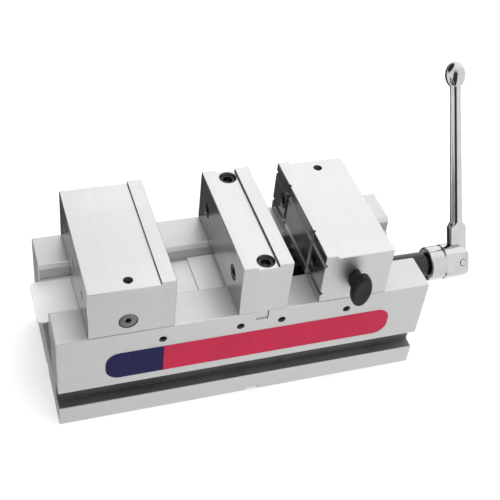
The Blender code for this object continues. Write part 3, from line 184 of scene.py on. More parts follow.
def makeWorld():  # a white tent that metal mirrors, in front of a white background
    world = bpy.data.worlds.new("studio")
    world.use_nodes = True
    scene.world = world
    tree = world.node_tree
    background = tree.nodes["Background"]
    where = addNode(tree, "ShaderNodeTexCoord").outputs["Generated"]
    tent, top = studio["tent"], studio["tent"] + studio["overhead"]
    toTop = along(tree, where, Vector(studio["overheadAim"]).normalized())
    shine = fadeBetween(tree, toTop, *studio["overheadSoftness"], tent, top)
    for card in ("lowCard", "leftCard"):
        toCard = along(tree, where, Vector(studio[card + "Aim"]).normalized())
        dim = fadeBetween(tree, toCard, *studio[card + "Softness"], 1.0, 1.0 - studio[card])
        shine = times(tree, shine, dim)
    aim = along(tree, where, studio["gapAim"])
    across = compute(tree, "ABSOLUTE", along(tree, where, studio["gapAcross"]))
    ahead = compute(tree, "ADD", compute(tree, "MAXIMUM", aim, 0.0), studio["gapTop"])
    turned = compute(tree, "DIVIDE", across, ahead)
    strip = fadeBetween(tree, turned, *studio["gapSoftness"], studio["gap"], 0.0)
    upward = along(tree, where, (0.0, 0.0, 1.0))
    foot = fadeBetween(tree, upward, *studio["gapFoot"])
    height = times(tree, foot, fadeBetween(tree, upward, *studio["gapHead"], 1.0, 0.0))
    gap = times(tree, times(tree, strip, height), fadeBetween(tree, aim, *studio["gapSide"]))
    shine = times(tree, shine, compute(tree, "SUBTRACT", 1.0, gap))
    path = addNode(tree, "ShaderNodeLightPath").outputs["Is Camera Ray"]
    choose = addNode(tree, "ShaderNodeMix", {"Factor": path, "A": shine, "B": studio["background"]})
    tree.links.new(choose.outputs["Result"], background.inputs["Strength"])
    background.inputs["Color"].default_value = (1, 1, 1, 1)


scene.view_settings.view_transform = "Standard"
makeCamera()
makeFloor()
makeLamp()
makeWorld()
print("studio ready")


# Effects that several finishes share

effects = {
    "laySizes": {"Lines": 0.35, "Fine": 1.6},
    "layNoise": {"Detail": 4.0, "Roughness": 0.6},
    "frontFacing": 0.7,  # how far a face looks along Y to have the front lay
    "filmNoise": {"Detail": 5.0, "Roughness": 0.55},
    "filmSpread": (0.34, 0.66),
    "edgeBend": (0.995, 0.86),  # cosines: no wear at the first, full wear at the second
    "edgePatches": (0.38, 0.58),
    "patchNoise": {"Detail": 3.0},
    "grainNoise": {"Detail": 2.0, "Roughness": 0.7},
    "cavityOpen": (0.35, 0.72),  # how open a place is: full painted shade at the first, none at the second
    "cavityShare": 0.92,
    "sideFacing": (0.70, 0.85),  # how far a face looks along Y to be milled
    "bumpStrength": 0.6,
}


def startGroup(name, entries, results):
    group = bpy.data.node_groups.new(name, "ShaderNodeTree")
    for label, kind, value in entries:
        socket = group.interface.new_socket(label, in_out="INPUT", socket_type=kind)
        if value is not None:
            socket.default_value = value
    for label in results:
        group.interface.new_socket(label, in_out="OUTPUT", socket_type="NodeSocketFloat")
    entry = addNode(group, "NodeGroupInput")
    result = addNode(group, "NodeGroupOutput")
    return group, entry.outputs, result.inputs


def addNoise(tree, where, size, settings):
    return addNode(tree, "ShaderNodeTexNoise", {"Vector": where, "Scale": size, **settings}).outputs["Fac"]


def makeGrindingLay():  # fine lines of the grinding wheel; faces that look along Y have their own direction
    group, entry, result = startGroup(
        "grindingLay",
        [
            ("Where", "NodeSocketVector", None),
            ("Facing", "NodeSocketVector", None),
            ("Lay", "NodeSocketVector", None),
            ("Front Lay", "NodeSocketVector", None),
        ],
        ["Lines", "Fine"],
    )
    facing = addNode(group, "ShaderNodeSeparateXYZ", {"Vector": entry["Facing"]}).outputs["Y"]
    isFront = compute(group, "GREATER_THAN", compute(group, "ABSOLUTE", facing), effects["frontFacing"])
    choice = {"Factor": isFront, 4: entry["Lay"], 5: entry["Front Lay"]}
    lay = addNode(group, "ShaderNodeMix", choice, data_type="VECTOR").outputs[1]
    stretched = addNode(group, "ShaderNodeVectorMath", {0: entry["Where"], 1: lay}, operation="MULTIPLY")
    for label, size in effects["laySizes"].items():
        lines = addNoise(group, stretched.outputs["Vector"], size, effects["layNoise"])
        group.links.new(lines, result[label])
    return group


def makeOilFilm():  # wiped oil and finger marks
    group, entry, result = startGroup(
        "oilFilm",
        [
            ("Where", "NodeSocketVector", None),
            ("Size", "NodeSocketFloat", 14.0),
            ("Swirl", "NodeSocketFloat", 0.8),
        ],
        ["Film"],
    )
    shape = {"Distortion": entry["Swirl"], **effects["filmNoise"]}
    smears = addNoise(group, entry["Where"], entry["Size"], shape)
    group.links.new(fadeBetween(group, smears, *effects["filmSpread"]), result["Film"])
    return group


def makeEdgeWear():  # 1 along outer edges, broken up by noise
    group, entry, result = startGroup(
        "edgeWear",
        [
            ("Where", "NodeSocketVector", None),
            ("Width", "NodeSocketFloat", 0.0008),
            ("Patches", "NodeSocketFloat", 220.0),
        ],
        ["Worn"],
    )
    rounded = addNode(group, "ShaderNodeBevel", {"Radius": entry["Width"]}, samples=6).outputs["Normal"]
    bend = along(group, rounded, addNode(group, "ShaderNodeNewGeometry").outputs["Normal"])
    edge = remap(group, bend, *effects["edgeBend"])
    patches = addNoise(group, entry["Where"], entry["Patches"], effects["patchNoise"])
    group.links.new(times(group, edge, remap(group, patches, *effects["edgePatches"])), result["Worn"])
    return group


def makeFineGrain():  # small even grain: pores, blasting or moulded texture
    group, entry, result = startGroup(
        "fineGrain",
        [
            ("Where", "NodeSocketVector", None),
            ("Size", "NodeSocketFloat", 900.0),
            ("Sharpness", "NodeSocketFloat", 0.2),
        ],
        ["Grain"],
    )
    grain = addNoise(group, entry["Where"], entry["Size"], effects["grainNoise"])
    low = compute(group, "SUBTRACT", 0.5, entry["Sharpness"])
    high = compute(group, "ADD", 0.5, entry["Sharpness"])
    group.links.new(remap(group, grain, low, high), result["Grain"])
    return group


grindingLay = makeGrindingLay()
oilFilm = makeOilFilm()
edgeWear = makeEdgeWear()
fineGrain = makeFineGrain()


def placeGroup(tree, group, inputs):
    return addNode(tree, "ShaderNodeGroup", inputs, node_tree=group).outputs


def blendColour(tree, factor, first, second):
    return addNode(tree, "ShaderNodeMix", {0: factor, 6: first, 7: second}, data_type="RGBA").outputs[2]


def blendValue(tree, factor, first, second):
    return addNode(tree, "ShaderNodeMix", {0: factor, 2: first, 3: second}).outputs[0]


def grey(value, warmth=0.0):
    return (value * (1 + warmth), value, value * (1 - warmth), 1.0)


def startFinish(name, finish):
    surface = bpy.data.materials.new(name)
    surface.use_nodes = True
    tree = surface.node_tree
    shader = tree.nodes["Principled BSDF"]
    shader.inputs["Metallic"].default_value = finish["metallic"]
    shader.inputs["Specular IOR Level"].default_value = finish.get("specular", 0.5)
    coords = addNode(tree, "ShaderNodeTexCoord").outputs
    where, facing = coords["Object"], coords["Normal"]
    kit = {"surface": surface, "tree": tree, "shader": shader, "where": where, "facing": facing}
    film = {"Where": where, "Size": finish["filmSize"], "Swirl": finish.get("swirl", 0.4)}
    kit["film"] = placeGroup(tree, oilFilm, film)["Film"]
    if "lay" in finish:
        lay = {"Where": where, "Facing": facing, "Lay": finish["lay"], "Front Lay": finish["frontLay"]}
        lines = placeGroup(tree, grindingLay, lay)
        kit["pattern"], kit["height"] = lines["Lines"], lines["Fine"]
    else:
        grain = placeGroup(tree, fineGrain, {"Where": where, "Size": finish["grainSize"]})
        kit["pattern"], kit["height"] = kit["film"], grain["Grain"]
    return kit


def spreadFilm(kit, finish, tone):
    share = remap(kit["tree"], kit["film"], 0.0, 1.0, 0.0, finish["smear"])
    return blendColour(kit["tree"], share, tone, grey(finish["smearTone"]))


def millSides(kit, finish, rough):  # the front and rear sides are milled, the rest is ground
    tree = kit["tree"]
    facing = addNode(tree, "ShaderNodeSeparateXYZ", {"Vector": kit["facing"]}).outputs["Y"]
    side = remap(tree, compute(tree, "ABSOLUTE", facing), *effects["sideFacing"])
    return blendValue(tree, side, rough, finish["sideRoughness"])


def endFinish(kit, finish, tone, rough):
    tree, shader = kit["tree"], kit["shader"]
    if "edgeTone" in finish:
        worn = placeGroup(tree, edgeWear, {"Where": kit["where"], "Width": finish["edgeWidth"]})["Worn"]
        share = remap(tree, worn, 0.0, 1.0, 0.0, finish["edgeShare"])
        tone = blendColour(tree, share, tone, finish["edgeTone"])
    if "cavityTone" in finish:  # painted shade: darker where the piece's own surface closes round a place, in holes, grooves and corners
        reach = {"Distance": finish["cavitySize"]}
        hollow = addNode(tree, "ShaderNodeAmbientOcclusion", reach, samples=8, only_local=True)
        share = remap(tree, hollow.outputs["AO"], *effects["cavityOpen"], effects["cavityShare"], 0.0)
        tone = blendColour(tree, share, tone, grey(finish["cavityTone"]))
    tree.links.new(tone, shader.inputs["Base Color"])
    tree.links.new(rough, shader.inputs["Roughness"])
    relief = {"Height": kit["height"], "Distance": finish["bump"], "Strength": effects["bumpStrength"]}
    tree.links.new(addNode(tree, "ShaderNodeBump", relief).outputs["Normal"], shader.inputs["Normal"])
    return kit["surface"]


def plainFinish(name, finish):
    kit = startFinish(name, finish)
    tone = blendColour(kit["tree"], kit["pattern"], *finish["tones"])
    if "smear" in finish:
        tone = spreadFilm(kit, finish, tone)
    rough = remap(kit["tree"], kit["film"], 0.0, 1.0, *finish["roughness"])
    if "sideRoughness" in finish:
        rough = millSides(kit, finish, rough)
    return endFinish(kit, finish, tone, rough)


# Ground steel of the jaws and their plates, and the rolled sheets over the screw

jawFinish = {
    "metallic": 0.95, "tones": (grey(0.43), grey(0.48)), "roughness": (0.24, 0.32), "sideRoughness": 0.5,
    "lay": (500.0, 9.0, 500.0), "frontLay": (9.0, 500.0, 500.0), "filmSize": 7.0, "smear": 0.05,
    # the cavity tone is painted shade in holes, grooves and corners
    "smearTone": 0.3, "cavityTone": 0.03, "cavitySize": 0.008, "edgeTone": grey(0.55),
    "edgeWidth": 0.0008, "edgeShare": 0.8, "bump": 0.000005,
}
plateFinish = dict(jawFinish, tones=(grey(0.42), grey(0.47)), roughness=(0.22, 0.30), filmSize=8.0)
sheetFinish = {
    "metallic": 0.3, "tones": (grey(0.64), grey(0.69)), "roughness": (0.42, 0.52),
    "lay": (7.0, 380.0, 380.0), "frontLay": (7.0, 380.0, 380.0), "filmSize": 12.0, "smear": 0.06,
    "smearTone": 0.3, "edgeTone": grey(0.72), "edgeWidth": 0.0005, "edgeShare": 0.7, "bump": 0.000004,
}


# Ground cast iron of the bed, with painted shade and a rougher finish inside the clamp slots

bedFinish = {
    "metallic": 0.65, "tones": (grey(0.45), grey(0.50)), "filmSize": 6.0,
    "lay": (6.0, 480.0, 480.0), "frontLay": (6.0, 480.0, 480.0), "roughness": (0.42, 0.52),
    "sideRoughness": 0.5, "smear": 0.06, "smearTone": 0.2,
    "poreSize": 1500.0, "poreShade": 0.08, "poreSharpness": 0.12, "poreTone": 0.2,
    # the cavity tone is painted shade in holes, grooves and corners
    "cavityTone": 0.03, "cavitySize": 0.008, "edgeTone": grey(0.56), "edgeWidth": 0.0009,
    "edgeShare": 0.8, "bump": 0.000007,
    "slotInside": (0.058, 0.060), "slotMouth": (0.0742, 0.0748),  # distances from the middle
    "slotFoot": (0.0236, 0.0238), "slotRoof": (0.0472, 0.0475),  # heights
    # the darker slot tones are painted shade inside the clamp slots
    "slotTones": (grey(0.09), grey(0.15)), "slotRoughness": 0.62,
}


def bedSurface(name, finish):
    kit = startFinish(name, finish)
    tree, film = kit["tree"], kit["film"]
    tone = spreadFilm(kit, finish, blendColour(tree, kit["pattern"], *finish["tones"]))
    grain = {"Where": kit["where"], "Size": finish["poreSize"], "Sharpness": finish["poreSharpness"]}
    pores = placeGroup(tree, fineGrain, grain)["Grain"]
    share = remap(tree, pores, 0.0, 1.0, finish["poreShade"], 0.0)
    tone = blendColour(tree, share, tone, grey(finish["poreTone"]))
    at = addNode(tree, "ShaderNodeSeparateXYZ", {"Vector": kit["where"]}).outputs
    deep = compute(tree, "ABSOLUTE", at["Y"])
    sunk = times(
        tree, remap(tree, deep, *finish["slotInside"]), remap(tree, deep, *finish["slotMouth"], 1.0, 0.0)
    )
    level = times(
        tree, remap(tree, at["Z"], *finish["slotFoot"]), remap(tree, at["Z"], *finish["slotRoof"], 1.0, 0.0)
    )
    slot = times(tree, level, sunk)
    # painted shade: the inside of the clamp slots is darkened
    tone = blendColour(tree, slot, tone, blendColour(tree, film, *finish["slotTones"]))
    rough = millSides(kit, finish, remap(tree, film, 0.0, 1.0, *finish["roughness"]))
    rough = blendValue(tree, slot, rough, finish["slotRoughness"])
    return endFinish(kit, finish, tone, rough)


# Black oxide of the screws and the lead screw, and the plain steel of the plug

oxideFinish = {
    "metallic": 0.55, "tones": (grey(0.012), grey(0.028, 0.02)), "roughness": (0.32, 0.46),
    "filmSize": 60.0, "edgeTone": grey(0.42), "edgeWidth": 0.0005, "edgeShare": 0.4,
    "grainSize": 1600.0, "bump": 0.000008,
}
plugFinish = {
    "metallic": 0.9, "tones": (grey(0.11), grey(0.15)), "roughness": (0.34, 0.46), "filmSize": 90.0,
    "edgeTone": grey(0.50), "edgeWidth": 0.0005, "edgeShare": 0.5, "grainSize": 1300.0, "bump": 0.000008,
}


# Satin chrome of the crank, cast bronze, and the moulded plastic of the brake knob

chromeFinish = {
    "metallic": 1.0, "tones": (grey(0.41), grey(0.37)), "roughness": (0.06, 0.13), "filmSize": 38.0,
    "swirl": 1.6, "grainSize": 240.0, "bump": 0.000003,
}
bronzeFinish = {
    "metallic": 1.0, "tones": ((0.62, 0.41, 0.19, 1.0), (0.40, 0.25, 0.11, 1.0)),
    "roughness": (0.28, 0.46), "filmSize": 40.0, "grainSize": 1100.0, "bump": 0.000010,
}
plasticFinish = {
    "metallic": 0.0, "specular": 0.14, "tones": ((0.005, 0.007, 0.006, 1.0), (0.010, 0.012, 0.011, 1.0)),
    "roughness": (0.38, 0.52), "filmSize": 70.0, "edgeTone": grey(0.07), "edgeWidth": 0.0012,
    "edgeShare": 0.4, "grainSize": 1400.0, "bump": 0.000020,
}


# Printed film of the label

navyFinish = {
    "metallic": 0.0, "specular": 0.08, "tones": ((0.007, 0.008, 0.054, 1.0), (0.010, 0.011, 0.064, 1.0)),
    "roughness": (0.40, 0.52), "filmSize": 26.0, "grainSize": 1800.0, "bump": 0.000010,
}
crimsonFinish = dict(navyFinish, tones=((0.44, 0.018, 0.058, 1.0), (0.49, 0.022, 0.066, 1.0)))

finishes = {
    "bed_iron": bedSurface("groundCastIron", bedFinish),
    "jaw_steel": plainFinish("groundSteel", jawFinish),
    "plate_steel": plainFinish("hardenedPlate", plateFinish),
    "sheet_steel": plainFinish("rolledSheet", sheetFinish),
    "black_steel": plainFinish("blackOxide", oxideFinish),
    "chrome": plainFinish("satinChrome", chromeFinish),
    "bronze": plainFinish("castBronze", bronzeFinish),
    "knob_plastic": plainFinish("mouldedPlastic", plasticFinish),
}
plugSteel = plainFinish("plugSteel", plugFinish)
labelFilms = [plainFinish("crimsonFilm", crimsonFinish), plainFinish("navyFilm", navyFinish)]
print("finishes ready")

for node, slot in slotOf.items():
    mesh = nodes[node].data
    mesh.materials.clear()
    mesh.materials.append(finishes[slot])


# Ways of making pieces

softAngle = math.radians(38)  # faces that meet at less than this are shaded as one
flatAngle = math.radians(0.4)
flatArea = 0.0004  # a larger face is a flat side, and a smaller one can be a strip of a curve
mergeReach = 1e-6
cutReach = 1e-7
endShare = 0.3  # how far round the middle point of a rounded end lies
joinAngle = math.radians(0.2)  # faces nearer to flat than this are joined


def camelName(node):
    first, *rest = node.split("_")
    return first + "".join(word.capitalize() for word in rest)


def finishPiece(build, name, node, edge=0.0, segments=3, surfaces=None, replaces=True):
    bmesh.ops.remove_doubles(build, verts=build.verts, dist=mergeReach)
    bmesh.ops.recalc_face_normals(build, faces=build.faces)
    for line in build.edges:
        line.smooth = line.calc_face_angle(0.0) < softAngle
    for face in build.faces:  # only curved faces are shaded as smooth, so that the flat ones stay flat
        bends = [line.calc_face_angle(0.0) for line in face.edges]
        face.smooth = face.calc_area() < flatArea and any(flatAngle < bend < softAngle for bend in bends)
    mesh = bpy.data.meshes.new(name)
    build.to_mesh(mesh)
    build.free()
    piece = bpy.data.objects.new(name, mesh)
    scene.collection.objects.link(piece)
    if edge:
        soften = piece.modifiers.new("softEdge", "BEVEL")
        soften.width = edge
        soften.segments = segments
        soften.limit_method = "ANGLE"
        soften.angle_limit = softAngle
        soften.use_clamp_overlap = False
    for surface in surfaces or [finishes[slotOf[node]]]:
        mesh.materials.append(surface)
    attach(piece, bodyOf[node])
    if replaces:
        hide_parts(node)
    return piece


def newVerts(result):
    return [item for item in result["geom"] if isinstance(item, bmesh.types.BMVert)]


def wholeOf(build):
    return list(build.verts) + list(build.edges) + list(build.faces)


def pullLoop(build, loop, size, height):  # extrudes a closed loop, scaled about Z and moved along it
    verts = newVerts(bmesh.ops.extrude_edge_only(build, edges=loop))
    bmesh.ops.scale(build, vec=(size, size, 1.0), verts=verts)
    bmesh.ops.translate(build, vec=(0, 0, height), verts=verts)
    made = set(verts)
    lines = {line for vert in verts for line in vert.link_edges}
    return [line for line in lines if made.issuperset(line.verts)]


def pullProfile(build, loop, profile):  # profile of (radius, height), whose first point is the loop's own
    for (radius, height), (nextRadius, nextHeight) in zip(profile, profile[1:]):
        loop = pullLoop(build, loop, nextRadius / radius, nextHeight - height)
    return loop


def drawProfile(build, profile):  # the profile is (radius, height)
    verts = [build.verts.new((radius, 0.0, height)) for radius, height in profile]
    return verts, [build.edges.new(ends) for ends in zip(verts, verts[1:])]


def spinProfile(profile, steps):  # turned about Z
    build = bmesh.new()
    verts, edges = drawProfile(build, profile)
    bmesh.ops.spin(
        build, geom=verts + edges, cent=(0, 0, 0), axis=(0, 0, 1), dvec=(0, 0, 0),
        angle=math.tau, steps=steps, use_merge=True,
    )
    bmesh.ops.remove_doubles(build, verts=build.verts, dist=mergeReach)
    return build


roundRing = 2.0  # the squareness of a circle


def loftRings(rings, segments):  # rings of (height, half width, half depth, squareness), with closed ends
    build = bmesh.new()
    loops = []
    for height, wide, deep, square in rings:
        ring = bmesh.ops.create_circle(build, cap_ends=False, radius=1.0, segments=segments)["verts"]
        for vert in ring:
            across, along = vert.co.x, vert.co.y
            vert.co.x = wide * math.copysign(abs(across) ** (2 / square), across)
            vert.co.y = deep * math.copysign(abs(along) ** (2 / square), along)
            vert.co.z = height
        loops.append({edge for vert in ring for edge in vert.link_edges})
    for low, high in zip(loops, loops[1:]):
        bmesh.ops.bridge_loops(build, edges=list(low | high))
    for loop in (loops[0], loops[-1]):
        bmesh.ops.contextual_create(build, geom=list(loop))
    return build


def combine(base, *changes):  # solid cuts and joins, as (operation, bmesh)
    made = []
    for build in [base] + [other for operation, other in changes]:
        bmesh.ops.recalc_face_normals(build, faces=build.faces)
        mesh = bpy.data.meshes.new("blank")
        build.to_mesh(mesh)
        build.free()
        made.append(bpy.data.objects.new("blank", mesh))
        scene.collection.objects.link(made[-1])
    for tool, (operation, other) in zip(made[1:], changes):
        change = made[0].modifiers.new(operation, "BOOLEAN")
        change.operation = operation
        change.solver = "EXACT"
        change.object = tool
    bpy.context.view_layer.update()
    seen = made[0].evaluated_get(bpy.context.evaluated_depsgraph_get())
    build = bmesh.new()
    build.from_mesh(seen.to_mesh())
    seen.to_mesh_clear()
    for thing in made:
        mesh = thing.data
        bpy.data.objects.remove(thing, do_unlink=True)
        bpy.data.meshes.remove(mesh)
    bmesh.ops.dissolve_limit(build, angle_limit=joinAngle, verts=build.verts, edges=build.edges)
    return build


def boxBuild(low, high):
    build = bmesh.new()
    bmesh.ops.create_cube(build, size=1.0)
    bmesh.ops.scale(build, vec=Vector(high) - Vector(low), verts=build.verts)
    bmesh.ops.translate(build, vec=(Vector(high) + Vector(low)) / 2, verts=build.verts)
    return build


def rodBuild(radius, start, end, segments=48):  # along Z
    build = bmesh.new()
    bmesh.ops.create_cone(
        build, cap_ends=True, segments=segments, radius1=radius, radius2=radius, depth=end - start
    )
    bmesh.ops.translate(build, vec=(0, 0, (start + end) / 2), verts=build.verts)
    return build


def moveBuild(build, matrix):
    bmesh.ops.transform(build, matrix=matrix, verts=build.verts)
    return build


def hexRadius(flats):
    return flats / 2 / math.cos(math.radians(30))


def roundEnd(radius, height, edge, inward):  # (radius, height) from the end face round onto the side
    return [
        (radius - edge, height),
        (radius - endShare * edge, height + inward * endShare * edge),
        (radius, height + inward * edge),
    ]


alongRight = Matrix.Rotation(math.radians(90), 4, "Y")
alongLeft = Matrix.Rotation(math.radians(-90), 4, "Y")
alongFront = Matrix.Rotation(math.radians(90), 4, "X")
alongTop = Matrix.Identity(4)


# Milled pieces: the same solids, with the edges broken as a stone leaves them

milled = {
    "vise_bed": 0.00025, "fixed_jaw": 0.00015, "left_jaw": 0.00015, "right_jaw": 0.00015,
    "fixed_jaw_left_plate": 0.00015, "fixed_jaw_right_plate": 0.00015, "left_jaw_plate": 0.00015,
    "right_jaw_plate": 0.00015, "channel_guard": 0.00030, "channel_cover": 0.00030, "left_nut": 0.00030,
    "right_carriage": 0.00030, "left_ball_segment": 0.00020, "right_ball_segment": 0.00020,
    "retaining_collar": 0.00025,
}
seams = {  # where the plates are drawn up against their jaws, and their edges stay sharp
    "fixed_jaw": (0.0, 0.021), "fixed_jaw_left_plate": (-0.00002,), "fixed_jaw_right_plate": (0.02102,),
    "left_jaw": (-0.0931,), "left_jaw_plate": (-0.09308,),
    "right_jaw": (0.0811,), "right_jaw_plate": (0.08108,),
}
seamReach = 0.001
nodeMerge = 1e-5
nodeJoinAngle = math.radians(0.5)


def softenNode(node, edge):
    build = bmesh.new()
    build.from_mesh(nodes[node].data)
    bmesh.ops.remove_doubles(build, verts=build.verts, dist=nodeMerge)
    bmesh.ops.dissolve_limit(build, angle_limit=nodeJoinAngle, verts=build.verts, edges=build.edges)
    flush = set()
    for place in seams.get(node, ()):
        for vert in build.verts:
            if abs(vert.co.x - place) < seamReach:
                vert.co.x = place
                flush.add(vert)
    rounded = build.edges.layers.float.new("bevel_weight_edge")
    for line in build.edges:
        bends = len(line.link_faces) == 2 and line.calc_face_angle() > softAngle
        line[rounded] = 1.0 if bends and flush.isdisjoint(line.verts) else 0.0
    piece = finishPiece(build, camelName(node), node, edge, segments=2)
    piece.modifiers["softEdge"].limit_method = "WEIGHT"


for node, edge in milled.items():
    softenNode(node, edge)
print("milled pieces ready")


# Socket screws and plugs

socketShape = {"steps": 36, "floorSize": 0.02, "floorDepth": 0.25, "turn": math.radians(23)}
socketScrews = {
    "plate": {"head": 0.0085, "shank": 0.0050, "flats": 0.0080, "edge": 0.0007, "deep": 0.0048},
    "bed": {"head": 0.0105, "shank": 0.0050, "flats": 0.0100, "edge": 0.0008, "deep": 0.0060},
    "top": {"flats": 0.0040, "edge": 0.0004, "deep": 0.0045},
    "retaining": {"flats": 0.0050, "edge": 0.0004, "deep": 0.0050},
    "plug": {"flats": 0.0060, "edge": 0.0008, "deep": 0.0060},
    "sheet": {"cone": 0.0016, "shank": 0.0020, "flats": 0.0022, "edge": 0.0001, "deep": 0.0012},
}
pair, single = ("_front", "_rear"), ("",)
screwRows = [
    ("left_plate_screw", pair, "plate", alongRight), ("right_plate_screw", pair, "plate", alongLeft),
    ("fixed_left_plate_screw", pair, "plate", alongLeft),
    ("fixed_right_plate_screw", pair, "plate", alongRight),
    ("bed_bolt", pair, "bed", alongTop),
    ("left_jaw_top_screw", single, "top", alongTop), ("right_jaw_top_screw", single, "top", alongTop),
    ("left_jaw_retaining_screw", single, "retaining", alongLeft),
    ("right_jaw_retaining_screw", single, "retaining", alongRight),
    ("left_jaw_side_plug", single, "plug", alongFront),
    ("guard_screw", pair, "sheet", alongTop), ("cover_screw", pair, "sheet", alongTop),
]


def makeCircle(build, radius, segments):  # its edges
    ring = bmesh.ops.create_circle(build, cap_ends=False, radius=radius, segments=segments)["verts"]
    return list({line for vert in ring for line in vert.link_edges})


def makeSocketScrew(node, kind, laid, turned):  # made with its head up at the origin, then laid on its axis
    size = socketScrews[kind]
    low, high = (laid.inverted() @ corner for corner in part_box(node))
    radius, length = abs(high.x - low.x) / 2, abs(high.z - low.z)
    head = Vector(((low.x + high.x) / 2, (low.y + high.y) / 2, max(low.z, high.z)))
    edge, shank = size["edge"], size.get("shank", radius)
    build = bmesh.new()
    sides = makeCircle(build, hexRadius(size["flats"]), 6)
    bmesh.ops.subdivide_edges(build, edges=sides, cuts=socketShape["steps"] // 6 - 1)
    mouth = list(build.edges)
    rim = makeCircle(build, radius - edge, socketShape["steps"])
    bmesh.ops.bridge_loops(build, edges=mouth + rim)
    floor = pullLoop(build, mouth, 1.0, -size["deep"])
    pullLoop(build, floor, socketShape["floorSize"], -socketShape["floorDepth"] * size["flats"])
    profile = roundEnd(radius, 0.0, edge, -1)
    if "head" in size:
        profile += [(radius, -size["head"]), (shank, -size["head"])]
    if "cone" in size:
        profile += [(shank, -size["cone"])]
    profile += [(shank, edge - length), (shank - edge, -length)]
    bmesh.ops.contextual_create(build, geom=pullProfile(build, rim, profile))
    moveBuild(build, laid @ Matrix.Translation(head) @ Matrix.Rotation(turned, 4, "Z"))
    return finishPiece(build, camelName(node), node, surfaces=[plugSteel] if kind == "plug" else None)


screws = [(row + end, kind, laid) for row, ends, kind, laid in screwRows for end in ends]
for count, (node, kind, laid) in enumerate(screws):
    makeSocketScrew(node, kind, laid, socketShape["turn"] * count)
print("screws ready")


# Lead screw: a trapezoid thread, a flange for the bearing, a journal and the hexagon that the crank drives

leadScrew = {
    "height": 0.070, "lean": math.radians(28.7), "left": -0.186, "threadEnd": 0.0768, "pitch": 0.005,
    "crest": 0.012, "root": 0.0094, "crestWidth": 0.0018, "rootWidth": 0.0017, "steps": 30,
    "chamfer": 0.0012,
    "flangeStart": 0.1393, "flangeEnd": 0.1473, "flangeRadius": 0.021, "journalEnd": 0.2265,
    "journalRadius": 0.0145, "journalEdge": 0.0006, "shoulderEnd": 0.2315, "shoulderRadius": 0.0132,
    "driveEnd": 0.2525, "driveFlats": 0.019, "driveRoot": 0.002, "spare": 0.001, "shaftSteps": 64,
}
screwAxis = Matrix.Translation((0, 0, leadScrew["height"])) @ Matrix.Rotation(-leadScrew["lean"], 4, "X")


def makeThread():  # one pitch of the section is wound along the axis, then cut off square at both ends
    size, spare = leadScrew, leadScrew["spare"]
    slope = (size["pitch"] - size["crestWidth"] - size["rootWidth"]) / 2
    section = [
        (size["root"], 0.0),
        (size["root"], size["rootWidth"]),
        (size["crest"], size["rootWidth"] + slope),
        (size["crest"], size["rootWidth"] + slope + size["crestWidth"]),
        (size["root"], size["pitch"]),
    ]
    turns = math.ceil((size["threadEnd"] - size["left"]) / size["pitch"]) + 3
    build = bmesh.new()
    verts, edges = drawProfile(build, section)
    bmesh.ops.translate(build, vec=(0, 0, size["left"] - 2 * size["pitch"]), verts=verts)
    bmesh.ops.spin(
        build, geom=verts + edges, cent=(0, 0, 0), axis=(0, 0, 1), angle=math.tau * turns,
        dvec=(0, 0, size["pitch"] / size["steps"]), steps=size["steps"] * turns, use_merge=False,
    )
    bmesh.ops.remove_doubles(build, verts=build.verts, dist=mergeReach)
    for height, side in ((size["left"], -1), (size["threadEnd"], 1)):
        cut = bmesh.ops.bisect_plane(
            build, geom=wholeOf(build), dist=cutReach, plane_co=(0, 0, height), plane_no=(0, 0, side),
            clear_outer=True,
        )
        bmesh.ops.contextual_create(
            build, geom=[item for item in cut["geom_cut"] if isinstance(item, bmesh.types.BMEdge)]
        )
    bmesh.ops.recalc_face_normals(build, faces=build.faces)
    blank = spinProfile(
        [
            (0.0, size["left"] - spare),
            (size["crest"] - 2 * size["chamfer"], size["left"] - spare),
            (size["crest"] + spare, size["left"] + size["chamfer"] + spare),
            (size["crest"] + spare, size["threadEnd"] + spare),
            (0.0, size["threadEnd"] + spare),
        ],
        size["shaftSteps"],
    )
    return combine(build, ("INTERSECT", blank))


def makeLeadScrew():
    size = leadScrew
    build = makeThread()
    shaft = spinProfile(
        [
            (0.0, size["threadEnd"]),
            (size["crest"], size["threadEnd"]),
            (size["crest"], size["flangeStart"]),
            (size["flangeRadius"], size["flangeStart"]),
            (size["flangeRadius"], size["flangeEnd"]),
            (size["journalRadius"], size["flangeEnd"]),
            (size["journalRadius"], size["journalEnd"] - size["journalEdge"]),
            (size["journalRadius"] - size["journalEdge"], size["journalEnd"]),
            (size["shoulderRadius"], size["journalEnd"]),
            (size["shoulderRadius"], size["shoulderEnd"] - size["chamfer"]),
            (size["shoulderRadius"] - size["chamfer"], size["shoulderEnd"]),
            (0.0, size["shoulderEnd"]),
        ],
        size["shaftSteps"],
    )
    driveStart = size["shoulderEnd"] - size["driveRoot"]
    drive = rodBuild(hexRadius(size["driveFlats"]), driveStart, size["driveEnd"], 6)
    shaft = combine(shaft, ("UNION", drive))
    moved = bpy.data.meshes.new("shaft")
    shaft.to_mesh(moved)
    shaft.free()
    build.from_mesh(moved)
    bpy.data.meshes.remove(moved)
    moveBuild(build, screwAxis @ alongRight)
    return finishPiece(build, "leadScrew", "lead_screw")


makeLeadScrew()
print("lead screw ready")


# Crank: a hex socket and a fork on the left, and a handle that folds in the fork

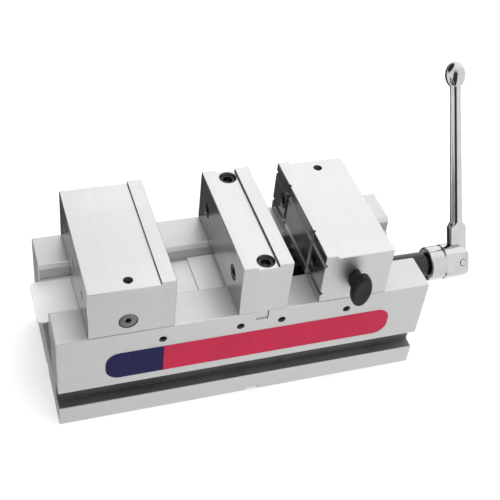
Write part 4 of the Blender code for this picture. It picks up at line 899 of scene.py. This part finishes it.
crankHub = {
    "left": 0.233, "right": 0.280, "radius": 0.019, "edge": 0.0015, "groove": 0.251, "grooveWidth": 0.002,
    "grooveDepth": 0.0010, "forkRadius": 0.0195, "forkWidth": 0.031, "forkCorner": 0.013,
    "socketFlats": 0.0196,
    "socketEnd": 0.2535, "slotLeft": 0.261, "slotWidth": 0.0106, "pinX": 0.273, "pinHole": 0.0039,
    "softEdge": 0.0005, "steps": 72, "barrelSteps": 96, "cornerSteps": 14, "spare": 0.001,
}
crankPin = {
    "radius": 0.0036, "half": 0.0159, "edge": 0.0005, "dimple": 0.0014, "dimpleDepth": 0.0007, "steps": 40,
}
handle = {
    "tangHalfWidth": 0.010, "tangHalfDepth": 0.005, "tangTop": 0.038, "square": 9.0, "shoulder": 0.045,
    "tangEnd": 0.004, "lowRadius": 0.0070, "highRadius": 0.0058, "neck": 0.1932, "neckRun": 0.012,
    "neckEnd": 0.004, "lipRun": 0.0015, "lip": 0.0002, "grip": 0.208, "gripRadius": 0.01114,
    "gripHalf": 0.01468, "steps": 64, "pinHole": 0.0039,
    "footTurns": (4, 10, 18, 27, 37, 48, 60, 72, 82, 90),
    "gripTurns": range(33, 180, 7),
    "blend": (  # flat tang to round rod: share of the rise, of the width, of the depth, and squareness
        (0.0, 1.0, 0.10, 8.0), (0.10, 0.96, 0.18, 6.5), (0.30, 0.80, 0.38, 4.5), (0.50, 0.50, 0.60, 3.2),
        (0.72, 0.20, 0.82, 2.5), (0.90, 0.05, 0.95, 2.1), (1.05, 0.0, 1.0, 2.0),
    ),
}


def makeCrankHub():
    size = crankHub
    deep = size["grooveDepth"]
    build = spinProfile(
        [
            (0.0, size["left"]),
            *roundEnd(size["radius"], size["left"], size["edge"], 1),
            (size["radius"], size["groove"] - deep),
            (size["radius"] - deep, size["groove"]),
            (size["radius"] - deep, size["groove"] + size["grooveWidth"]),
            (0.0, size["groove"] + size["grooveWidth"]),
        ],
        size["steps"],
    )
    fork = boxBuild(
        (-size["forkRadius"], -size["forkWidth"] / 2, size["groove"] + deep),
        (size["forkRadius"], size["forkWidth"] / 2, size["right"]),
    )
    tops = [line for line in fork.edges if all(vert.co.z > size["slotLeft"] for vert in line.verts)]
    corners = [line for line in tops if line.verts[0].co.x == line.verts[1].co.x]
    bmesh.ops.bevel(
        fork, geom=corners, offset=size["forkCorner"], segments=size["cornerSteps"], profile=0.5,
        affect="EDGES", material=-1, clamp_overlap=False,
    )
    barrel = rodBuild(size["forkRadius"], size["left"], size["right"] + size["spare"], size["barrelSteps"])
    fork = combine(fork, ("INTERSECT", barrel))
    socket = rodBuild(hexRadius(size["socketFlats"]), size["left"] - size["spare"], size["socketEnd"], 6)
    slot = boxBuild(
        (-2 * size["forkRadius"], -size["slotWidth"] / 2, size["slotLeft"]),
        (2 * size["forkRadius"], size["slotWidth"] / 2, 2 * size["right"]),
    )
    pinHole = moveBuild(
        rodBuild(size["pinHole"], -size["forkWidth"], size["forkWidth"]),
        Matrix.Translation((0, 0, size["pinX"])) @ alongFront,
    )
    build = combine(
        build, ("UNION", fork), ("DIFFERENCE", socket), ("DIFFERENCE", slot), ("DIFFERENCE", pinHole)
    )
    moveBuild(build, screwAxis @ alongRight)
    return finishPiece(build, "crankHub", "crank_hub", size["softEdge"])


def makeCrankPin():
    size = crankPin
    half = [
        (0.0, size["half"] - size["dimpleDepth"]),
        (size["dimple"], size["half"]),
        *roundEnd(size["radius"], size["half"], size["edge"], -1),
    ]
    build = spinProfile(half + [(radius, -height) for radius, height in reversed(half)], size["steps"])
    moveBuild(build, screwAxis @ Matrix.Translation((crankHub["pinX"], 0, 0)) @ alongFront)
    return finishPiece(build, "crankPin", "crank_pin")


def makeHandle():  # along Z from the pin: across is X, and the tang is thin along Y
    size = handle
    wide, deep, square = size["tangHalfWidth"], size["tangHalfDepth"], size["square"]
    low, high, lip = size["lowRadius"], size["highRadius"], size["highRadius"] + size["lip"]
    foot = [
        (-wide * math.cos(turn), wide * math.sin(turn), deep, square)
        for turn in map(math.radians, size["footTurns"])
    ]
    rise = size["shoulder"] - size["tangTop"]
    blend = [
        (size["tangTop"] + rise * share, low + (wide - low) * width, deep + (low - deep) * depth, corners)
        for share, width, depth, corners in size["blend"]
    ]
    neck = [
        (size["neck"] - size["neckRun"], high, high, roundRing),
        (size["neck"] - size["neckEnd"], high, high, roundRing),
        (size["neck"] - size["lipRun"], lip, lip, roundRing),
    ]
    grip = []
    for turn in map(math.radians, size["gripTurns"]):
        radius = size["gripRadius"] * math.sin(turn)
        grip.append((size["grip"] - size["gripHalf"] * math.cos(turn), radius, radius, roundRing))
    rings = foot + [(size["tangTop"] - size["tangEnd"], wide, deep, square)] + blend + neck + grip
    build = loftRings(rings, size["steps"])
    pinHole = moveBuild(rodBuild(size["pinHole"], -2 * deep, 2 * deep), alongFront)
    build = combine(build, ("DIFFERENCE", pinHole))
    moveBuild(build, screwAxis @ Matrix.Translation((crankHub["pinX"], 0, 0)))
    return finishPiece(build, "crankHandle", "crank_handle")


makeCrankHub()
makeCrankPin()
makeHandle()
print("crank ready")


# Brake knob and its stud, along Z from the jaw's front

knob = {
    "place": (0.1026, -0.075, 0.147), "share": 0.52, "steps": 72, "radius": 0.0200, "top": 0.0223,
    "crown": 0.0035, "crownTurns": (0, 18, 36, 54, 70, 82, 90), "dish": 0.0006,
    "outline": (  # (height, radius) of the hub, the neck and the underside, from the jaw's front outwards
        (0.0003, 0.0116), (0.0009, 0.0122), (0.0079, 0.0122), (0.0088, 0.0116), (0.0093, 0.0107),
        (0.0099, 0.0105), (0.0117, 0.0105), (0.0123, 0.0115), (0.0131, 0.01525), (0.0139, 0.0192),
        (0.0149, 0.0199), (0.0159, 0.0200),
    ),
    "dishRings": ((0.3, 0.55), (0.8, 0.25), (1.0, 0.02)),  # shares of the dish's depth and of the radius
}
stud = {"radius": 0.0040, "inside": 0.021, "point": 0.0032, "inKnob": 0.016, "steps": 40}
knobPlace = Matrix.Translation(knob["place"]) @ alongFront


def makeKnob():
    size = knob
    big, crown, top = size["radius"], size["crown"], size["top"]
    profile = list(size["outline"])
    for turn in map(math.radians, size["crownTurns"]):
        profile.append((top - crown + crown * math.sin(turn), big - crown + crown * math.cos(turn)))
    profile += [(top - size["dish"] * depth, share * big) for depth, share in size["dishRings"]]
    rings = [(height, size["share"] * radius, radius, roundRing) for height, radius in profile]
    build = loftRings(rings, size["steps"])
    moveBuild(build, knobPlace)
    return finishPiece(build, "brakeKnob", "brake_knob")


def makeStud():
    size = stud
    build = spinProfile(
        [
            (0.0, size["inKnob"]), (size["radius"], size["inKnob"]),
            (size["radius"], size["point"] - size["inside"]),
            (size["radius"] - size["point"], -size["inside"]), (0.0, -size["inside"]),
        ],
        size["steps"],
    )
    moveBuild(build, knobPlace)
    return finishPiece(build, "brakeStud", "brake_stud")


makeKnob()
makeStud()
print("brake ready")


# Label on the front of the bed: a thin plate with rounded ends, in two colours and without words

label = {
    "left": -0.1455, "right": 0.1530, "low": 0.0575, "high": 0.0925, "corner": 0.0140, "cornerSteps": 10,
    "split": -0.088, "front": -0.075, "thickness": 0.0004, "edge": 0.00012,
}


def makeLabel():
    size = label
    build = bmesh.new()
    bmesh.ops.create_grid(build, x_segments=1, y_segments=1, size=0.5)
    spread = (size["right"] - size["left"], size["high"] - size["low"], 1.0)
    bmesh.ops.scale(build, vec=spread, verts=build.verts)
    middle = ((size["left"] + size["right"]) / 2, (size["low"] + size["high"]) / 2, 0)
    bmesh.ops.translate(build, vec=middle, verts=build.verts)
    bmesh.ops.bevel(
        build, geom=list(build.verts), offset=size["corner"], segments=size["cornerSteps"], profile=0.5,
        affect="VERTICES", material=-1,
    )
    bmesh.ops.bisect_plane(
        build, geom=wholeOf(build), dist=cutReach, plane_co=(size["split"], 0, 0), plane_no=(1, 0, 0)
    )
    for face in build.faces:
        face.material_index = int(face.calc_center_median().x < size["split"])
    raised = bmesh.ops.extrude_face_region(build, geom=list(build.faces), use_keep_orig=True)
    bmesh.ops.translate(build, vec=(0, 0, size["thickness"]), verts=newVerts(raised))
    moveBuild(build, Matrix.Translation((0, size["front"], 0)) @ alongFront)
    return finishPiece(build, "frontLabel", "vise_bed", size["edge"], 2, labelFilms, replaces=False)


makeLabel()
print("label ready")

bpy.context.view_layer.update()
